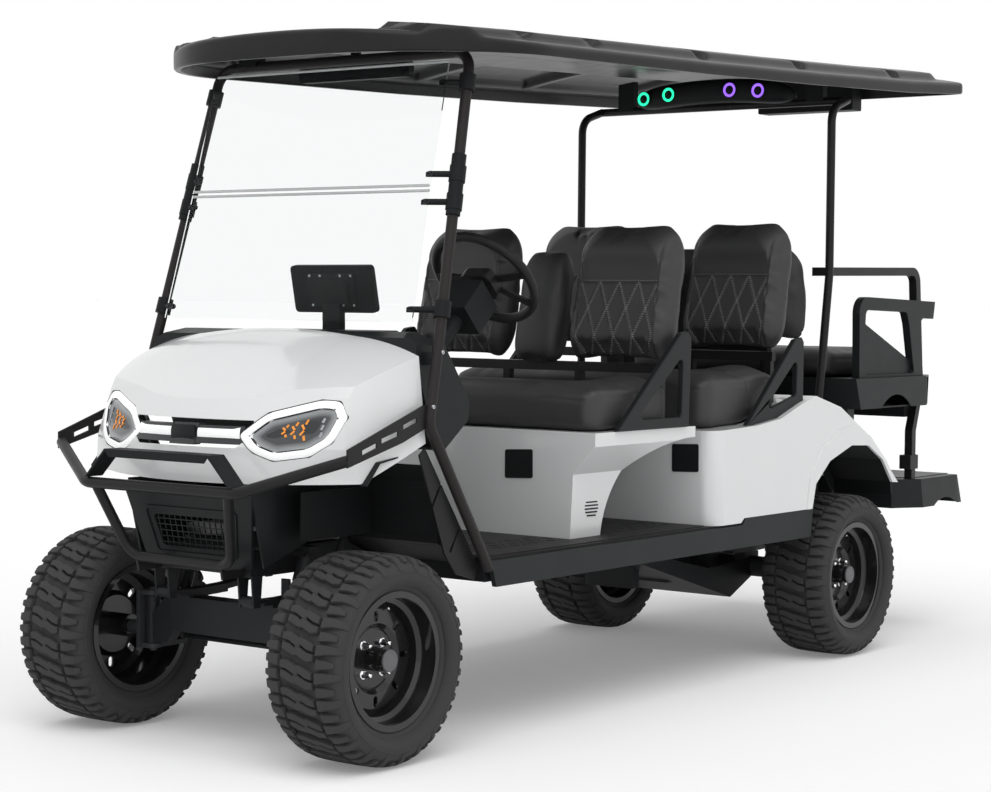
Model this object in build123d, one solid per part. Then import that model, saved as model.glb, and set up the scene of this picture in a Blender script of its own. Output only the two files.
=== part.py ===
from build123d import *
import os

# Six-seat golf cart with a lifted chassis, in millimetres.
# X is the vehicle's left side, Y runs rearward from the front axle, Z is up from the ground.
# Every node is shifted in Y when it is written, so that the box of the whole cart is centred.

os.makedirs("parts", exist_ok=True)

# ---------------------------------------------------------------- running gear
WHEELBASE = 2573
FRONT_TRACK = 988
REAR_TRACK = 1032
TYRE_RADIUS = 292
TYRE_WIDTH = 267
RIM_RADIUS = 192
BEAD_RADIUS = 178
RIM_HALF_WIDTH = 105
RIM_DROP = 16
DISC_FACE = 34
VENTS, VENT_CIRCLE = 8, 118
HUB_RADIUS = 34
SPINDLE_RADIUS = 19.7
PIVOT_GAP = 0.3
KINGPIN_X = 340
KINGPIN_RADIUS = 10
KINGPIN_SLEEVE = (252, 392)
STEERING_ARM = 120
TIE_ROD_Z = 260
PITMAN_X, PITMAN_Y = 215, 75
BEAM_BOTTOM, BEAM_TOP = 300, 405
BEAM_HALF_DEPTH = 33
REAR_TUBE_RADIUS = 38

# ---------------------------------------------------------------- chassis
RAIL_INNER, RAIL_OUTER = 140, 190
RAIL_BOTTOM, RAIL_TOP = 440, 516
RAIL_FRONT, RAIL_REAR = -142, 3099.7
KICK_UP = 60
SPRING_X = 165
SPRING_WIDTH = 44
FLOOR_TOP = 537
FLOOR_FRONT, FLOOR_REAR = 425, 2262
SILL_FRONT = 446
SILL_X = 603
SILL_BOTTOM = 453
SILL_THICK = 16
DECK_FRAME_BOTTOM, DECK_FRAME_TOP = 840, 890

# ---------------------------------------------------------------- body
WALL = 5
POD_FRONT, POD_FOOT_REAR = 985, 1150
POD_TOP = 872
POD_FOOT_HALF = 478
POD_TOP_HALF = 570
BODY_FRONT = 1630
BODY_HALF = 604
ARCH_INNER_X = 356
ROOF_HALF = 664
ROOF_FRONT, ROOF_REAR = 98, 3352
GUARD_TUBE = 16
GUARD_FRONT_Y = -309
FOOTREST_REAR = 3560
HOOP_TUBE = 16
STRUT_TUBE = 15

FRONT_END = GUARD_FRONT_Y - GUARD_TUBE
CENTRE_Y = (FRONT_END + FOOTREST_REAR) / 2


# ---------------------------------------------------------------- helpers
def outline(points, radius=0):
    """Flat face from corner points, with every corner rounded when a radius is given."""
    face = make_face(Polyline(*points, close=True))
    return fillet(face.vertices(), radius) if radius else face


def curve(points, smooth):
    """Flat face whose straight edges run through points and whose last edge is a spline back to the start."""
    return make_face(Polyline(*points) + Spline(points[-1], *smooth, points[0]))


def rounded(points, radii):
    """Flat face with its own radius at each corner; corners left out stay sharp."""
    face = outline(points)
    for corner, radius in radii.items():
        spot = Vector(*points[corner])
        face = fillet(sorted(face.vertices(), key=lambda v: (Vector(*v) - spot).length)[0], radius)
    return face


def span_x(face, x0, x1):
    """Flat (y, z) face between two x values."""
    return extrude(Plane.YZ.offset(x0) * face, x1 - x0)


def prism_x(face_points, x0, x1, radius=0):
    """Outline given as (y, z) points, between two x values."""
    return span_x(outline(face_points, radius), x0, x1)


def prism_y(face_points, y0, y1, radius=0):
    """Outline given as (x, z) points, between two y values."""
    return extrude(Plane.XZ.offset(-y1) * outline(face_points, radius), y1 - y0)


def prism_z(face_points, z0, z1, radius=0):
    """Outline given as (x, y) points, between two z values."""
    return extrude(Plane.XY.offset(z0) * outline(face_points, radius), z1 - z0)


def block(x0, x1, y0, y1, z0, z1):
    """Plain box between two corners."""
    return Pos((x0 + x1) / 2, (y0 + y1) / 2, (z0 + z1) / 2) * Box(x1 - x0, y1 - y0, z1 - z0)


def rod_x(x0, x1, y, z, radius):
    return Pos((x0 + x1) / 2, y, z) * Rot(0, 90, 0) * Cylinder(radius, x1 - x0)


def rod_y(y0, y1, x, z, radius):
    return Pos(x, (y0 + y1) / 2, z) * Rot(90, 0, 0) * Cylinder(radius, y1 - y0)


def rod_z(z0, z1, x, y, radius):
    return Pos(x, y, (z0 + z1) / 2) * Cylinder(radius, z1 - z0)


def rod(start, end, radius):
    """Round bar between two points."""
    axis = Vector(*end) - Vector(*start)
    return extrude(Plane(origin=start, z_dir=axis) * Circle(radius), axis.length)


def tube(points, radius, bend):
    """Round tube bent through points, with one bend radius."""
    path = FilletPolyline(*points, radius=bend) if len(points) > 2 else Line(*points)
    return sweep(Plane(origin=path @ 0, z_dir=path % 0) * Circle(radius), path=path)


def both_sides(shape):
    """A piece and its mirror image across the cart's centre plane."""
    return shape + mirror(shape, about=Plane.YZ)


def save(node, shape):
    export_step(Pos(0, -CENTRE_Y, 0) * shape, f"parts/{node}.step")


# ---------------------------------------------------------------- wheels
def tyre():
    """Hollow carcass turned about the X axis, open towards the rim."""
    half = TYRE_WIDTH / 2
    bead = BEAD_RADIUS + PIVOT_GAP
    wall = 12
    profile = [
        (-100, bead), (-100, RIM_RADIUS + 3), (-half, bead + 58), (-half + 5, TYRE_RADIUS - 26),
        (-half + 20, TYRE_RADIUS - 6), (-half + 36, TYRE_RADIUS), (half - 36, TYRE_RADIUS),
        (half - 20, TYRE_RADIUS - 6), (half - 5, TYRE_RADIUS - 26), (half, bead + 58), (100, RIM_RADIUS + 3),
        (100, bead), (100 - wall - 4, bead),
        (half - wall, bead + 58), (half - wall - 16, TYRE_RADIUS - 26), (-half + wall + 16, TYRE_RADIUS - 26),
        (-half + wall, bead + 58), (-100 + wall + 4, bead),
    ]
    return revolve(outline(profile), axis=Axis.X)


def rim():
    """Pressed steel rim with a dished disc, hub flange and hub barrel; +X is the outer side."""
    seat, drop = BEAD_RADIUS, BEAD_RADIUS - RIM_DROP
    edge, bore = RIM_HALF_WIDTH, SPINDLE_RADIUS + PIVOT_GAP
    profile = [
        (-edge, RIM_RADIUS), (-edge + 4, RIM_RADIUS), (-edge + 4, seat), (-45, seat), (-35, drop), (45, drop),
        (55, seat), (edge - 4, seat), (edge - 4, RIM_RADIUS), (edge, RIM_RADIUS), (edge, seat - 4),
        (58, seat - 4), (48, drop - 4), (26, drop - 4), (DISC_FACE, 138), (DISC_FACE, 98), (22, 84),
        (22, HUB_RADIUS), (66, HUB_RADIUS), (66, bore), (-62, bore), (-62, HUB_RADIUS), (8, HUB_RADIUS), (8, 86),
        (16, 86), (DISC_FACE - 6, 100), (DISC_FACE - 6, 136), (20, drop - 4),
        (-38, drop - 4), (-48, seat - 4), (-edge, seat - 4),
    ]
    wheel = revolve(outline(profile), axis=Axis.X) + rod_x(66, 84, 0, 0, HUB_RADIUS - 4)
    for spot in PolarLocations(VENT_CIRCLE, VENTS):
        wheel -= extrude(Plane.YZ * spot * SlotOverall(30, 17), 60)
    return wheel


WHEELS = [
    # name, x, y, side
    ("front_left", FRONT_TRACK / 2, 0, 1),
    ("front_right", -FRONT_TRACK / 2, 0, -1),
    ("rear_left", REAR_TRACK / 2, WHEELBASE, 1),
    ("rear_right", -REAR_TRACK / 2, WHEELBASE, -1),
]
for name, x, y, side in WHEELS:
    turn = Rot(0, 0, 0 if side > 0 else 180)
    place = Pos(x, y, TYRE_RADIUS)
    save(f"tyre_{name}", place * tyre())
    save(f"rim_{name}", place * turn * rim())


# ---------------------------------------------------------------- front axle and steering
def front_axle():
    """Box beam with drop gussets that carry an upright sleeve for each kingpin."""
    depth = BEAM_HALF_DEPTH
    low, high = KINGPIN_SLEEVE
    beam = block(-235, 235, -depth, depth, BEAM_BOTTOM, BEAM_TOP)
    gusset = prism_y([(235, BEAM_TOP), (235, BEAM_BOTTOM), (262, 262), (322, 256), (326, 340), (262, BEAM_TOP)],
                     -18, 18)
    tower = block(205, 235, -depth, -depth + 8, BEAM_TOP, 490)
    sleeve = rod_z(low, high, KINGPIN_X, 0, 22)
    arm = gusset + tower + sleeve
    arm -= rod_z(low - 1, high + 1, KINGPIN_X, 0, KINGPIN_RADIUS + PIVOT_GAP)
    return beam + both_sides(arm)


def knuckle():
    """Forked knuckle for the left wheel: two ears, kingpin, spindle and a steering arm."""
    low, high = KINGPIN_SLEEVE
    gap, ear = 2, 14
    x = KINGPIN_X
    plate = block(x + 26, x + 40, -30, 30, low - gap - ear, high + gap + ear)
    body = plate
    for z0 in (high + gap, low - gap - ear):
        body += block(x, x + 27, -22, 22, z0, z0 + ear) + rod_z(z0, z0 + ear, x, 0, 22)
    body += rod_z(low - gap - ear - 8, high + gap + ear + 8, x, 0, KINGPIN_RADIUS)
    body += rod_x(x + 30, FRONT_TRACK / 2 + 60, 0, TYRE_RADIUS, SPINDLE_RADIUS)
    z0 = low - gap - ear
    arm = prism_z([(x - 14, 10), (x + 14, 10), (x + 12, STEERING_ARM), (x - 12, STEERING_ARM)], z0, z0 + ear)
    stud = rod_z(z0, TIE_ROD_Z + 36, x, STEERING_ARM, 6)
    return body + arm + rod_z(z0, z0 + ear, x, STEERING_ARM, 14) + stud


def eye(x, y, z):
    return rod_z(z - 8, z + 8, x, y, 16) - rod_z(z - 9, z + 9, x, y, 6 + PIVOT_GAP)


def link(start, end, z):
    """Track rod with an eye at each end."""
    a, b = Vector(*start, z), Vector(*end, z)
    along = (b - a).normalized() * 14
    shaft = rod(a + along, b - along, 8)
    return shaft + eye(*start, z) + eye(*end, z)


save("front_axle", front_axle())
save("knuckle_left", knuckle())
save("knuckle_right", mirror(knuckle(), about=Plane.YZ))
tie_rod = link((KINGPIN_X, STEERING_ARM), (-KINGPIN_X, STEERING_ARM), TIE_ROD_Z)
drag_link = link((KINGPIN_X, STEERING_ARM), (PITMAN_X, PITMAN_Y + STEERING_ARM), TIE_ROD_Z + 18)
save("steering_links", tie_rod + drag_link)

pitman_z = TIE_ROD_Z + 28
pitman_end = PITMAN_Y + STEERING_ARM
pitman = prism_z([(PITMAN_X - 13, PITMAN_Y), (PITMAN_X + 13, PITMAN_Y), (PITMAN_X + 10, pitman_end),
                  (PITMAN_X - 10, pitman_end)], pitman_z, pitman_z + 12)
pitman += rod_z(pitman_z, pitman_z + 12, PITMAN_X, PITMAN_Y, 18)
pitman += rod_z(pitman_z, pitman_z + 12, PITMAN_X, pitman_end, 12)
pitman += rod_z(TIE_ROD_Z + 8, pitman_z, PITMAN_X, pitman_end, 6)
pitman += rod_z(pitman_z, pitman_z + 40, PITMAN_X, PITMAN_Y, 10)
save("pitman_arm", pitman)

# Steering wheel: ring centre and the angle of its column above the horizontal.
WHEEL_CENTRE = (300, 771, 1345)
COLUMN_ANGLE = 43
WHEEL_RADIUS = 168
GRIP_RADIUS = 15
SPOKES = (-8, 35, 145, 188)
COLUMN_RADIUS = 24
GEARBOX_TOP = 400
ring_plane = Plane(origin=WHEEL_CENTRE, x_dir=(1, 0, 0),
                   z_dir=Vector(0, 0, 1).rotate(Axis.X, -(90 - COLUMN_ANGLE)))


def steering_wheel():
    ring = Torus(WHEEL_RADIUS, GRIP_RADIUS)
    hub = extrude(Plane.XY.offset(-44) * fillet(Rectangle(118, 96).vertices(), 30), 44)
    hub = fillet(hub.edges().group_by(Axis.Z)[-1], 10)
    spokes = Part()
    for angle in SPOKES:
        spokes += Rot(0, 0, angle) * Pos(102, 0, -12) * Box(126, 24, 8)
    shaft = Pos(0, 0, -60) * Cylinder(11, 40)
    return ring_plane * (ring + hub + spokes + shaft)


save("steering_wheel", steering_wheel())


def on_column(depth):
    """Point on the steering column, a distance below the ring's plane."""
    return ring_plane.from_local_coords(Vector(0, 0, -depth))


column_top, shaft_foot, column_end = on_column(46), on_column(86), on_column(640)
shaft_low = Vector(PITMAN_X + 14, PITMAN_Y + 20, GEARBOX_TOP)
sleeve = rod(column_top, column_end, COLUMN_RADIUS)
sleeve -= rod(column_top, shaft_foot, 11 + PIVOT_GAP)
shroud = ring_plane * (Pos(0, 0, -130) * Box(120, 110, 120))
column = sleeve + shroud
column -= rod(column_top, shaft_foot, 11 + PIVOT_GAP)
column += rod(column_end, shaft_low, 10)
box_plan = [(PITMAN_X - 32, BEAM_HALF_DEPTH), (PITMAN_X + 36, BEAM_HALF_DEPTH), (PITMAN_X + 36, PITMAN_Y + 45),
            (PITMAN_X - 32, PITMAN_Y + 45)]
column += prism_z(box_plan, pitman_z + 16, GEARBOX_TOP)
column -= rod_z(pitman_z + 10, pitman_z + 45, PITMAN_X, PITMAN_Y, 10 + PIVOT_GAP)
save("steering_column", column)


# ---------------------------------------------------------------- chassis frame
CROSS_DEPTH = 50
OUTRIGGERS = [455, 1040, 1700, 2220]
OUTRIGGER_HALF, OUTRIGGER_BOTTOM = 572, 466
DECK_BEAMS = [
    # y, half length
    (2460, 545),
    (2665, 545),
    (3205, 499.5),
]
UPRIGHTS = (2460, 3045)
SPRINGS = [
    # y of the seat, seat z, front half, rear half, rear eye z
    (0, BEAM_TOP, 118, 285, 458),
    (WHEELBASE, 345, 330, 330, 398),
]


def frame():
    """Left rail with its kick-up, uprights, deck rail, shock stub and spring hangers."""
    kick = [(RAIL_FRONT, RAIL_BOTTOM + KICK_UP), (230, RAIL_BOTTOM + KICK_UP), (380, RAIL_BOTTOM),
            (RAIL_REAR, RAIL_BOTTOM), (RAIL_REAR, RAIL_TOP), (400, RAIL_TOP), (250, RAIL_TOP + KICK_UP),
            (RAIL_FRONT, RAIL_TOP + KICK_UP)]
    side = prism_x(kick, RAIL_INNER, RAIL_OUTER)
    for y in UPRIGHTS:
        side += block(RAIL_INNER, RAIL_OUTER, y - 25, y + 25, RAIL_TOP, DECK_FRAME_BOTTOM)
    side += block(RAIL_INNER, RAIL_OUTER, 2435, 3230, DECK_FRAME_BOTTOM, DECK_FRAME_TOP)
    side += prism_x([(-130, 527), (-130, 576), (-156.1, 576), (-144.2, 527)], RAIL_INNER, RAIL_OUTER)
    side += block(RAIL_OUTER, 250, 40, 80, 560, RAIL_TOP + KICK_UP)
    for y, seat, front, rear, eye_z in SPRINGS:
        top = seat + LEAVES * LEAF
        curve = rear ** 2 / (eye_z - 4 - top)
        rail_z = RAIL_BOTTOM + (KICK_UP if y == 0 else 0)
        side += hanger(y - front, top - LEAF / 2 + front ** 2 / curve, rail_z)
        side += hanger(y + rear, eye_z - LEAF / 2, rail_z)
    return side


def cross_bar(y, half, z0, z1):
    """Bar across the cart, cut where it meets the two rails."""
    y0, y1 = y - CROSS_DEPTH / 2, y + CROSS_DEPTH / 2
    middle = block(-RAIL_INNER, RAIL_INNER, y0, y1, z0, z1)
    return [middle, block(RAIL_OUTER, half, y0, y1, z0, z1), block(-half, -RAIL_OUTER, y0, y1, z0, z1)]


def cross_tubes():
    front_bottom = RAIL_BOTTOM + KICK_UP + 5  # clears the hanger cheeks
    bars = [block(-RAIL_INNER, RAIL_INNER, RAIL_FRONT, RAIL_FRONT + 40, front_bottom, RAIL_TOP + KICK_UP)]
    for y in OUTRIGGERS:
        bars += cross_bar(y, OUTRIGGER_HALF, OUTRIGGER_BOTTOM, RAIL_TOP)
    for y, half in DECK_BEAMS:
        bars += cross_bar(y, half, DECK_FRAME_BOTTOM, DECK_FRAME_TOP)
    bars.append(block(-RAIL_INNER, RAIL_INNER, 3015, 3065, OUTRIGGER_BOTTOM, RAIL_TOP))
    return sum(bars, Part())


EYE_RADIUS = 16
LEAF = 8
LEAVES = 3


def hanger(y, eye_z, rail_z):
    """Two cheeks and a pin that hold a spring eye under a rail."""
    half = SPRING_WIDTH / 2
    cheeks = Part()
    for x0 in (SPRING_X - half - 7, SPRING_X + half + 1):
        cheeks += prism_x([(y - 22, rail_z + 4), (y + 22, rail_z + 4), (y + 14, eye_z - 16), (y - 14, eye_z - 16)],
                          x0, x0 + 6)
    return cheeks + rod_x(SPRING_X - half - 7, SPRING_X + half + 7, y, eye_z, 7)


def leaf_spring(y0, front, rear, eye_z, seat_z):
    """Leaf pack on a seat at y0, with an eye a distance in front of it and another behind it."""
    half = SPRING_WIDTH / 2
    top = seat_z + LEAVES * LEAF
    curve = rear ** 2 / (eye_z - 4 - top)

    def at(share, reach, layer):
        y = share * reach
        return (y0 + y, seat_z + PIVOT_GAP + layer * LEAF + y ** 2 / curve)

    # lower edge, stepped where each shorter leaf ends, then the upper edge back
    edge = [at(1, -front, 2), at(0.7, -front, 2), at(0.7, -front, 1), at(0.4, -front, 1), at(0.4, -front, 0),
            at(0, rear, 0), at(0.4, rear, 0), at(0.4, rear, 1), at(0.7, rear, 1), at(0.7, rear, 2), at(1, rear, 2),
            at(1, rear, 3), at(0.7, rear, 3), at(0.4, rear, 3), at(0, rear, 3), at(0.4, -front, 3), at(1, -front, 3)]
    pack = prism_x(edge, SPRING_X - half, SPRING_X + half)
    for y, z in ((y0 - front, top - LEAF / 2 + front ** 2 / curve), (y0 + rear, eye_z - LEAF / 2)):
        pack += rod_x(SPRING_X - half, SPRING_X + half, y, z, EYE_RADIUS)
        pack -= rod_x(SPRING_X - half - 1, SPRING_X + half + 1, y, z, 7 + PIVOT_GAP)
    return pack


def shock(low, high):
    """Damper rod with a dust sleeve, trimmed flat where it meets its seats."""
    a, b = Vector(*low), Vector(*high)
    span = b - a
    body = rod(a - span * 0.1, b + span * 0.1, 9)
    body += rod(a + span * 0.12, a + span * 0.5, 20) + rod(a + span * 0.45, a + span * 0.88, 25)
    return body & block(0, 400, a.Y - 300, a.Y + 300, a.Z, b.Z)


SHOCK_SEAT = 300


def rear_axle():
    centre = (0, WHEELBASE, TYRE_RADIUS)
    half_inner = REAR_TRACK / 2 - RIM_HALF_WIDTH + 12
    body = rod_x(-half_inner, half_inner, WHEELBASE, TYRE_RADIUS, REAR_TUBE_RADIUS)
    stub = REAR_TRACK / 2 + 60
    body += rod_x(-stub, stub, WHEELBASE, TYRE_RADIUS, SPINDLE_RADIUS)
    body += Pos(*centre) * Rot(0, 90, 0) * Cylinder(98, 120)
    body += Pos(-70, WHEELBASE - 75, TYRE_RADIUS + 5) * Rot(0, 90, 0) * Cylinder(62, 90)
    body += both_sides(block(206, 244, WHEELBASE, WHEELBASE + 85, TYRE_RADIUS - 10, SHOCK_SEAT))
    for side in (-1, 1):
        body += rod_x(side * half_inner - 5, side * half_inner + 5, WHEELBASE, TYRE_RADIUS, 92)
        body += block(side * SPRING_X - 22, side * SPRING_X + 22, WHEELBASE - 50, WHEELBASE + 50,
                      TYRE_RADIUS + 20, SPRINGS[1][1])
    return body


save("frame", both_sides(frame()))
save("frame_cross_tubes", cross_tubes())
save("rear_axle", rear_axle())
front_shock = shock((222, 5, BEAM_TOP + 0.3), (222, 60, 559.7))
rear_shock = shock((225, WHEELBASE + 62, SHOCK_SEAT + 0.3), (225, WHEELBASE + 92, 839.7))
for name, damper, (y, seat, front, rear, eye_z) in (
    ("front_suspension", front_shock, SPRINGS[0]),
    ("rear_suspension", rear_shock, SPRINGS[1]),
):
    save(name, both_sides(leaf_spring(y, front, rear, eye_z, seat) + damper))

# Engine and its skid cradle, which slopes down from the rails to the rear axle tube.
ENGINE_BOTTOM, ENGINE_TOP = 372, 700
ENGINE_Y = (1885, 2190)
CRADLE_HALF = 203


def engine_cradle():
    skid = [(1500, RAIL_BOTTOM - 0.3), (1590, RAIL_BOTTOM - 0.3), (2400, 203), (2400, 193), (1588, 429), (1500, 429)]
    plate = prism_x(skid, -CRADLE_HALF, CRADLE_HALF)
    for x0 in (-CRADLE_HALF, CRADLE_HALF - 7):
        cheek = [(1590, 429), (1590, RAIL_BOTTOM - 0.3), (1660, RAIL_BOTTOM - 0.3), (2250, 312), (2560, 320),
                 (2560, 262), (2400, 193)]
        plate += prism_x(cheek, x0, x0 + 7)
    plate -= rod_x(-260, 260, WHEELBASE, TYRE_RADIUS, REAR_TUBE_RADIUS + PIVOT_GAP)
    for y0 in (ENGINE_Y[0] + 20, ENGINE_Y[1] - 60):
        plate += block(-100, 100, y0, y0 + 40, 262, ENGINE_BOTTOM - 0.3)
    return plate


save("engine", block(-128, 128, *ENGINE_Y, ENGINE_BOTTOM, ENGINE_TOP))
save("engine_cradle", engine_cradle())

# ---------------------------------------------------------------- floor and sills
HOOP_POINTS = [
    # x, y, z down the left side
    (495, 442, 1992),
    (560, 222, 1140),
    (573, 168, 930),
    (592, 424, 505),
]


def hoop_path(radius):
    """Bent tube up one side, across under the roof and down the other side."""
    left = [Vector(*p) for p in reversed(HOOP_POINTS)]
    right = [Vector(-p.X, p.Y, p.Z) for p in reversed(left)]
    return tube(left + right, radius, 60)


save("front_hoop", hoop_path(HOOP_TUBE))
FLOOR_HALF = SILL_X - SILL_THICK - 0.5
MAT_HALF, MAT_TOP, MAT_GAP = 570, FLOOR_TOP + 3, 4


def floor_pan():
    pan = block(-FLOOR_HALF, FLOOR_HALF, FLOOR_FRONT, FLOOR_REAR, RAIL_TOP + 0.3, FLOOR_TOP)
    toe = [(FLOOR_FRONT, FLOOR_TOP), (FLOOR_FRONT, RAIL_TOP + 0.3), (400, 520), (250, 590), (250, 760), (262, 760),
           (262, 602), (410, FLOOR_TOP)]
    pan += prism_x(toe, -540, 540)
    pan -= block(-140, 140, ENGINE_Y[0] - 12, ENGINE_Y[1] + 12, 500, 600)
    mat = block(-MAT_HALF, MAT_HALF, FLOOR_FRONT + 15, BODY_FRONT - 8, FLOOR_TOP - 1, MAT_TOP)
    foot = POD_FOOT_HALF + MAT_GAP
    pan += mat - block(-foot, foot, POD_FRONT - MAT_GAP, POD_FOOT_REAR + MAT_GAP + 2, FLOOR_TOP, MAT_TOP + 1)
    pan -= rod(on_column(600), shaft_low, 18)
    return pan - hoop_path(HOOP_TUBE + PIVOT_GAP)


def sill_trim():
    step = 1830
    side = [(SILL_FRONT, SILL_BOTTOM), (2276, SILL_BOTTOM), (2290, 552), (step, 552), (step - 18, 530),
            (SILL_FRONT - 24, 530)]
    return prism_x(side, SILL_X - SILL_THICK, SILL_X) - hoop_path(HOOP_TUBE + PIVOT_GAP)


save("floor_pan", floor_pan())
save("sill_trim", both_sides(sill_trim()))


# ---------------------------------------------------------------- front body
COWL_SECTIONS = [
    # y, half width at the hem, half width and z of the shoulder ridge, half width and z of the crease, z at the centre
    (-275, 405, 345, 905, 178, 950, 955),
    (-140, 500, 418, 980, 196, 1005, 1010),
    (20, 552, 492, 1063, 244, 1108, 1121),
    (175, 572, 530, 1120, 300, 1172, 1191),
]
COWL_PLAN = [
    # z, y at the sides, y at the centre
    (740, -16, -220),
    (868, -22, -226),
    (943, -4, -197),
    (1006, 10, -158),
    (1230, 130, -50),
]
COWL_HALF, COWL_REAR, HEM_Z = 575, 175, 760
COWL_BULGE = 9


def cowl_solid(inset):
    """Domed nose: a loft of cross sections trimmed by a stack of bowed plan outlines."""
    ribs = []
    for y, hem, ridge, z_ridge, crease, z_crease, z_top in COWL_SECTIONS:
        hem, ridge, crease = hem - inset, ridge - inset, crease - inset / 3
        z_ridge, z_crease, z_top = z_ridge - inset, z_crease - inset, z_top - inset
        bend = ((ridge + crease) / 2, (z_ridge + z_crease) / 2 + COWL_BULGE)
        face = make_face(
            Polyline((-ridge, z_ridge), (-hem, HEM_Z - 20), (hem, HEM_Z - 20), (ridge, z_ridge))
            + ThreePointArc((ridge, z_ridge), bend, (crease, z_crease))
            + ThreePointArc((crease, z_crease), (0, z_top), (-crease, z_crease))
            + ThreePointArc((-crease, z_crease), (-bend[0], bend[1]), (-ridge, z_ridge))
        )
        ribs.append(Plane.XZ.offset(-y) * face)
    dome = loft(ribs)
    decks = []
    for z, y_side, y_front in COWL_PLAN:
        y_side, y_front = y_side + inset, y_front + inset
        face = make_face(
            Polyline((COWL_HALF, y_side), (COWL_HALF, COWL_REAR + 30), (-COWL_HALF, COWL_REAR + 30),
                     (-COWL_HALF, y_side))
            + ThreePointArc((-COWL_HALF, y_side), (0, y_front), (COWL_HALF, y_side))
        )
        decks.append(Plane.XY.offset(z) * face)
    return dome & loft(decks, ruled=True)


LAMP = [
    # x, z of the left lamp's outline, seen from the front
    (186, 900), (262, 965), (400, 1003), (452, 1000), (478, 955), (455, 885), (400, 845), (300, 830), (240, 852),
]


PIPE_WIDTH, LENS_DEPTH, LAMP_DEPTH = 25, 9, 28
LIGHT_BAR = (874, 924)


def lamp_prism(grow):
    face = outline(LAMP, 14)
    if grow:
        face = offset(face, grow)
    return extrude(Plane.XZ.offset(400) * face, -560)


def front_cowl():
    shell = cowl_solid(0) - (cowl_solid(WALL) + block(-600, 600, COWL_REAR - 1, COWL_REAR + 40, 700, 1300))
    hem_cut = prism_x([(-300, 700), (-300, HEM_Z), (-60, 775), (COWL_REAR + 5, 880), (COWL_REAR + 5, 700)],
                      -600, 600)
    shell -= hem_cut
    shell -= block(-600, 600, COWL_REAR, COWL_REAR + 60, 700, 1300)
    lamps = both_sides(lamp_prism(0))
    mouth = prism_y([(-190, 864), (190, 864), (232, 900), (228, 941), (-228, 941), (-232, 900)], -400, -100)
    return shell - lamps - mouth


def lamps_and_bar():
    inner = cowl_solid(3) - cowl_solid(LAMP_DEPTH)
    bar = block(-204, 204, -400, -100, *LIGHT_BAR)
    lens = both_sides(lamp_prism(-PIPE_WIDTH)) - cowl_solid(LENS_DEPTH)
    badge = block(-48, 48, -400, -100, LIGHT_BAR[0] - 5, LIGHT_BAR[1] + 5) & (cowl_solid(1) - cowl_solid(LAMP_DEPTH))
    return (inner & (both_sides(lamp_prism(-0.6)) + bar)) - lens + badge


save("front_cowl", front_cowl())
save("headlamps", lamps_and_bar())

# Lower fascia: sloped panel with a mesh window, and side plates back to the axle.
FASCIA = [
    # z, y, half width
    (735, -203, 250),
    (525, -152, 203),
]


FASCIA_BEAD = 4


def fascia():
    (z1, y1, w1), (z0, y0, w0) = FASCIA
    slab = prism_x([(y0, z0), (y1, z1), (y1 + 8, z1), (y0 + 8, z0)], -w1, w1)
    panel = slab & prism_y([(-w0, z0), (w0, z0), (w1, z1), (-w1, z1)], -260, -100)
    border = prism_y([(-158, 548), (158, 548), (184, 686), (-184, 686)], -260, -100, 14)
    border -= prism_y([(-150, 556), (150, 556), (174, 678), (-174, 678)], -260, -100, 10)
    panel += Pos(0, -FASCIA_BEAD, 0) * slab & border
    window = prism_y([(-128, 572), (128, 572), (150, 662), (-150, 662)], -260, -100, 8)
    panel -= window
    mesh = Part()
    for k in range(13):
        x = (k - 6) * 22
        mesh += block(x - 1.5, x + 1.5, -260, -100, 570, 664)
    for k in range(5):
        z = 582 + k * 17
        mesh += block(-152, 152, -260, -100, z - 1.5, z + 1.5)
    grille = mesh & prism_x([(y0 + 2, z0), (y1 + 2, z1), (y1 + 6, z1), (y0 + 6, z0)], -w1, w1) & window
    plate = [(y1 + 8.3, 760), (y1 + 8.3, 735), (y0 + 8.3, 530), (30, 590), (78, 690), (78, 760)]
    sides = both_sides(prism_x(plate, 238, 244))
    return panel + grille + sides


save("front_fascia", fascia())


# ---------------------------------------------------------------- brush guard
def brush_guard():
    main = [(562, -160, 846), (294, GUARD_FRONT_Y, 751), (-294, GUARD_FRONT_Y, 751), (-562, -160, 846)]
    hoop = [(258, GUARD_FRONT_Y + 6, 745), (196, -224, 540), (-196, -224, 540), (-258, GUARD_FRONT_Y + 6, 745)]
    bars = tube(main, GUARD_TUBE, 70) + tube(hoop, GUARD_TUBE - 1, 60)
    bracket = [(-236, 538), (-222, 526), (RAIL_FRONT - 0.3, 523), (RAIL_FRONT - 0.3, 502), (-228, 500)]
    bars += both_sides(prism_x(bracket, 161, 169))
    wing = [(-170, 827), (-170, 876), (-120, 893), (150, 985), (172, 985), (172, 925), (60, 885)]
    plate = prism_x(wing, 564, 569) - cowl_solid(-0.3)
    for y0, y1, z in ((-110, -50, 866), (-30, 40, 894), (62, 120, 928)):
        plate -= prism_x([(y0, z - 8), (y1, z + 10), (y1, z + 24), (y0, z + 6)], 560, 575)
    return bars + both_sides(plate - hoop_path(HOOP_TUBE + PIVOT_GAP))


LEG_PLATE = [(142, 846), (166, 864), (412, 512), (396, 476), (309, 500), (256, 563)]


def leg_plate():
    """Flat gusset ahead of the hoop's lower leg, with two slots."""
    plate = prism_x(LEG_PLATE, 556, 562)
    for y, z in ((218, 730), (300, 596)):
        plate -= Pos(559, y, z) * Rot(-31, 0, 0) * Box(20, 9, 74)
    return plate - hoop_path(HOOP_TUBE + PIVOT_GAP)


save("brush_guard", brush_guard() + both_sides(leg_plate()))
STRAP_REAR = -262


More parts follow.
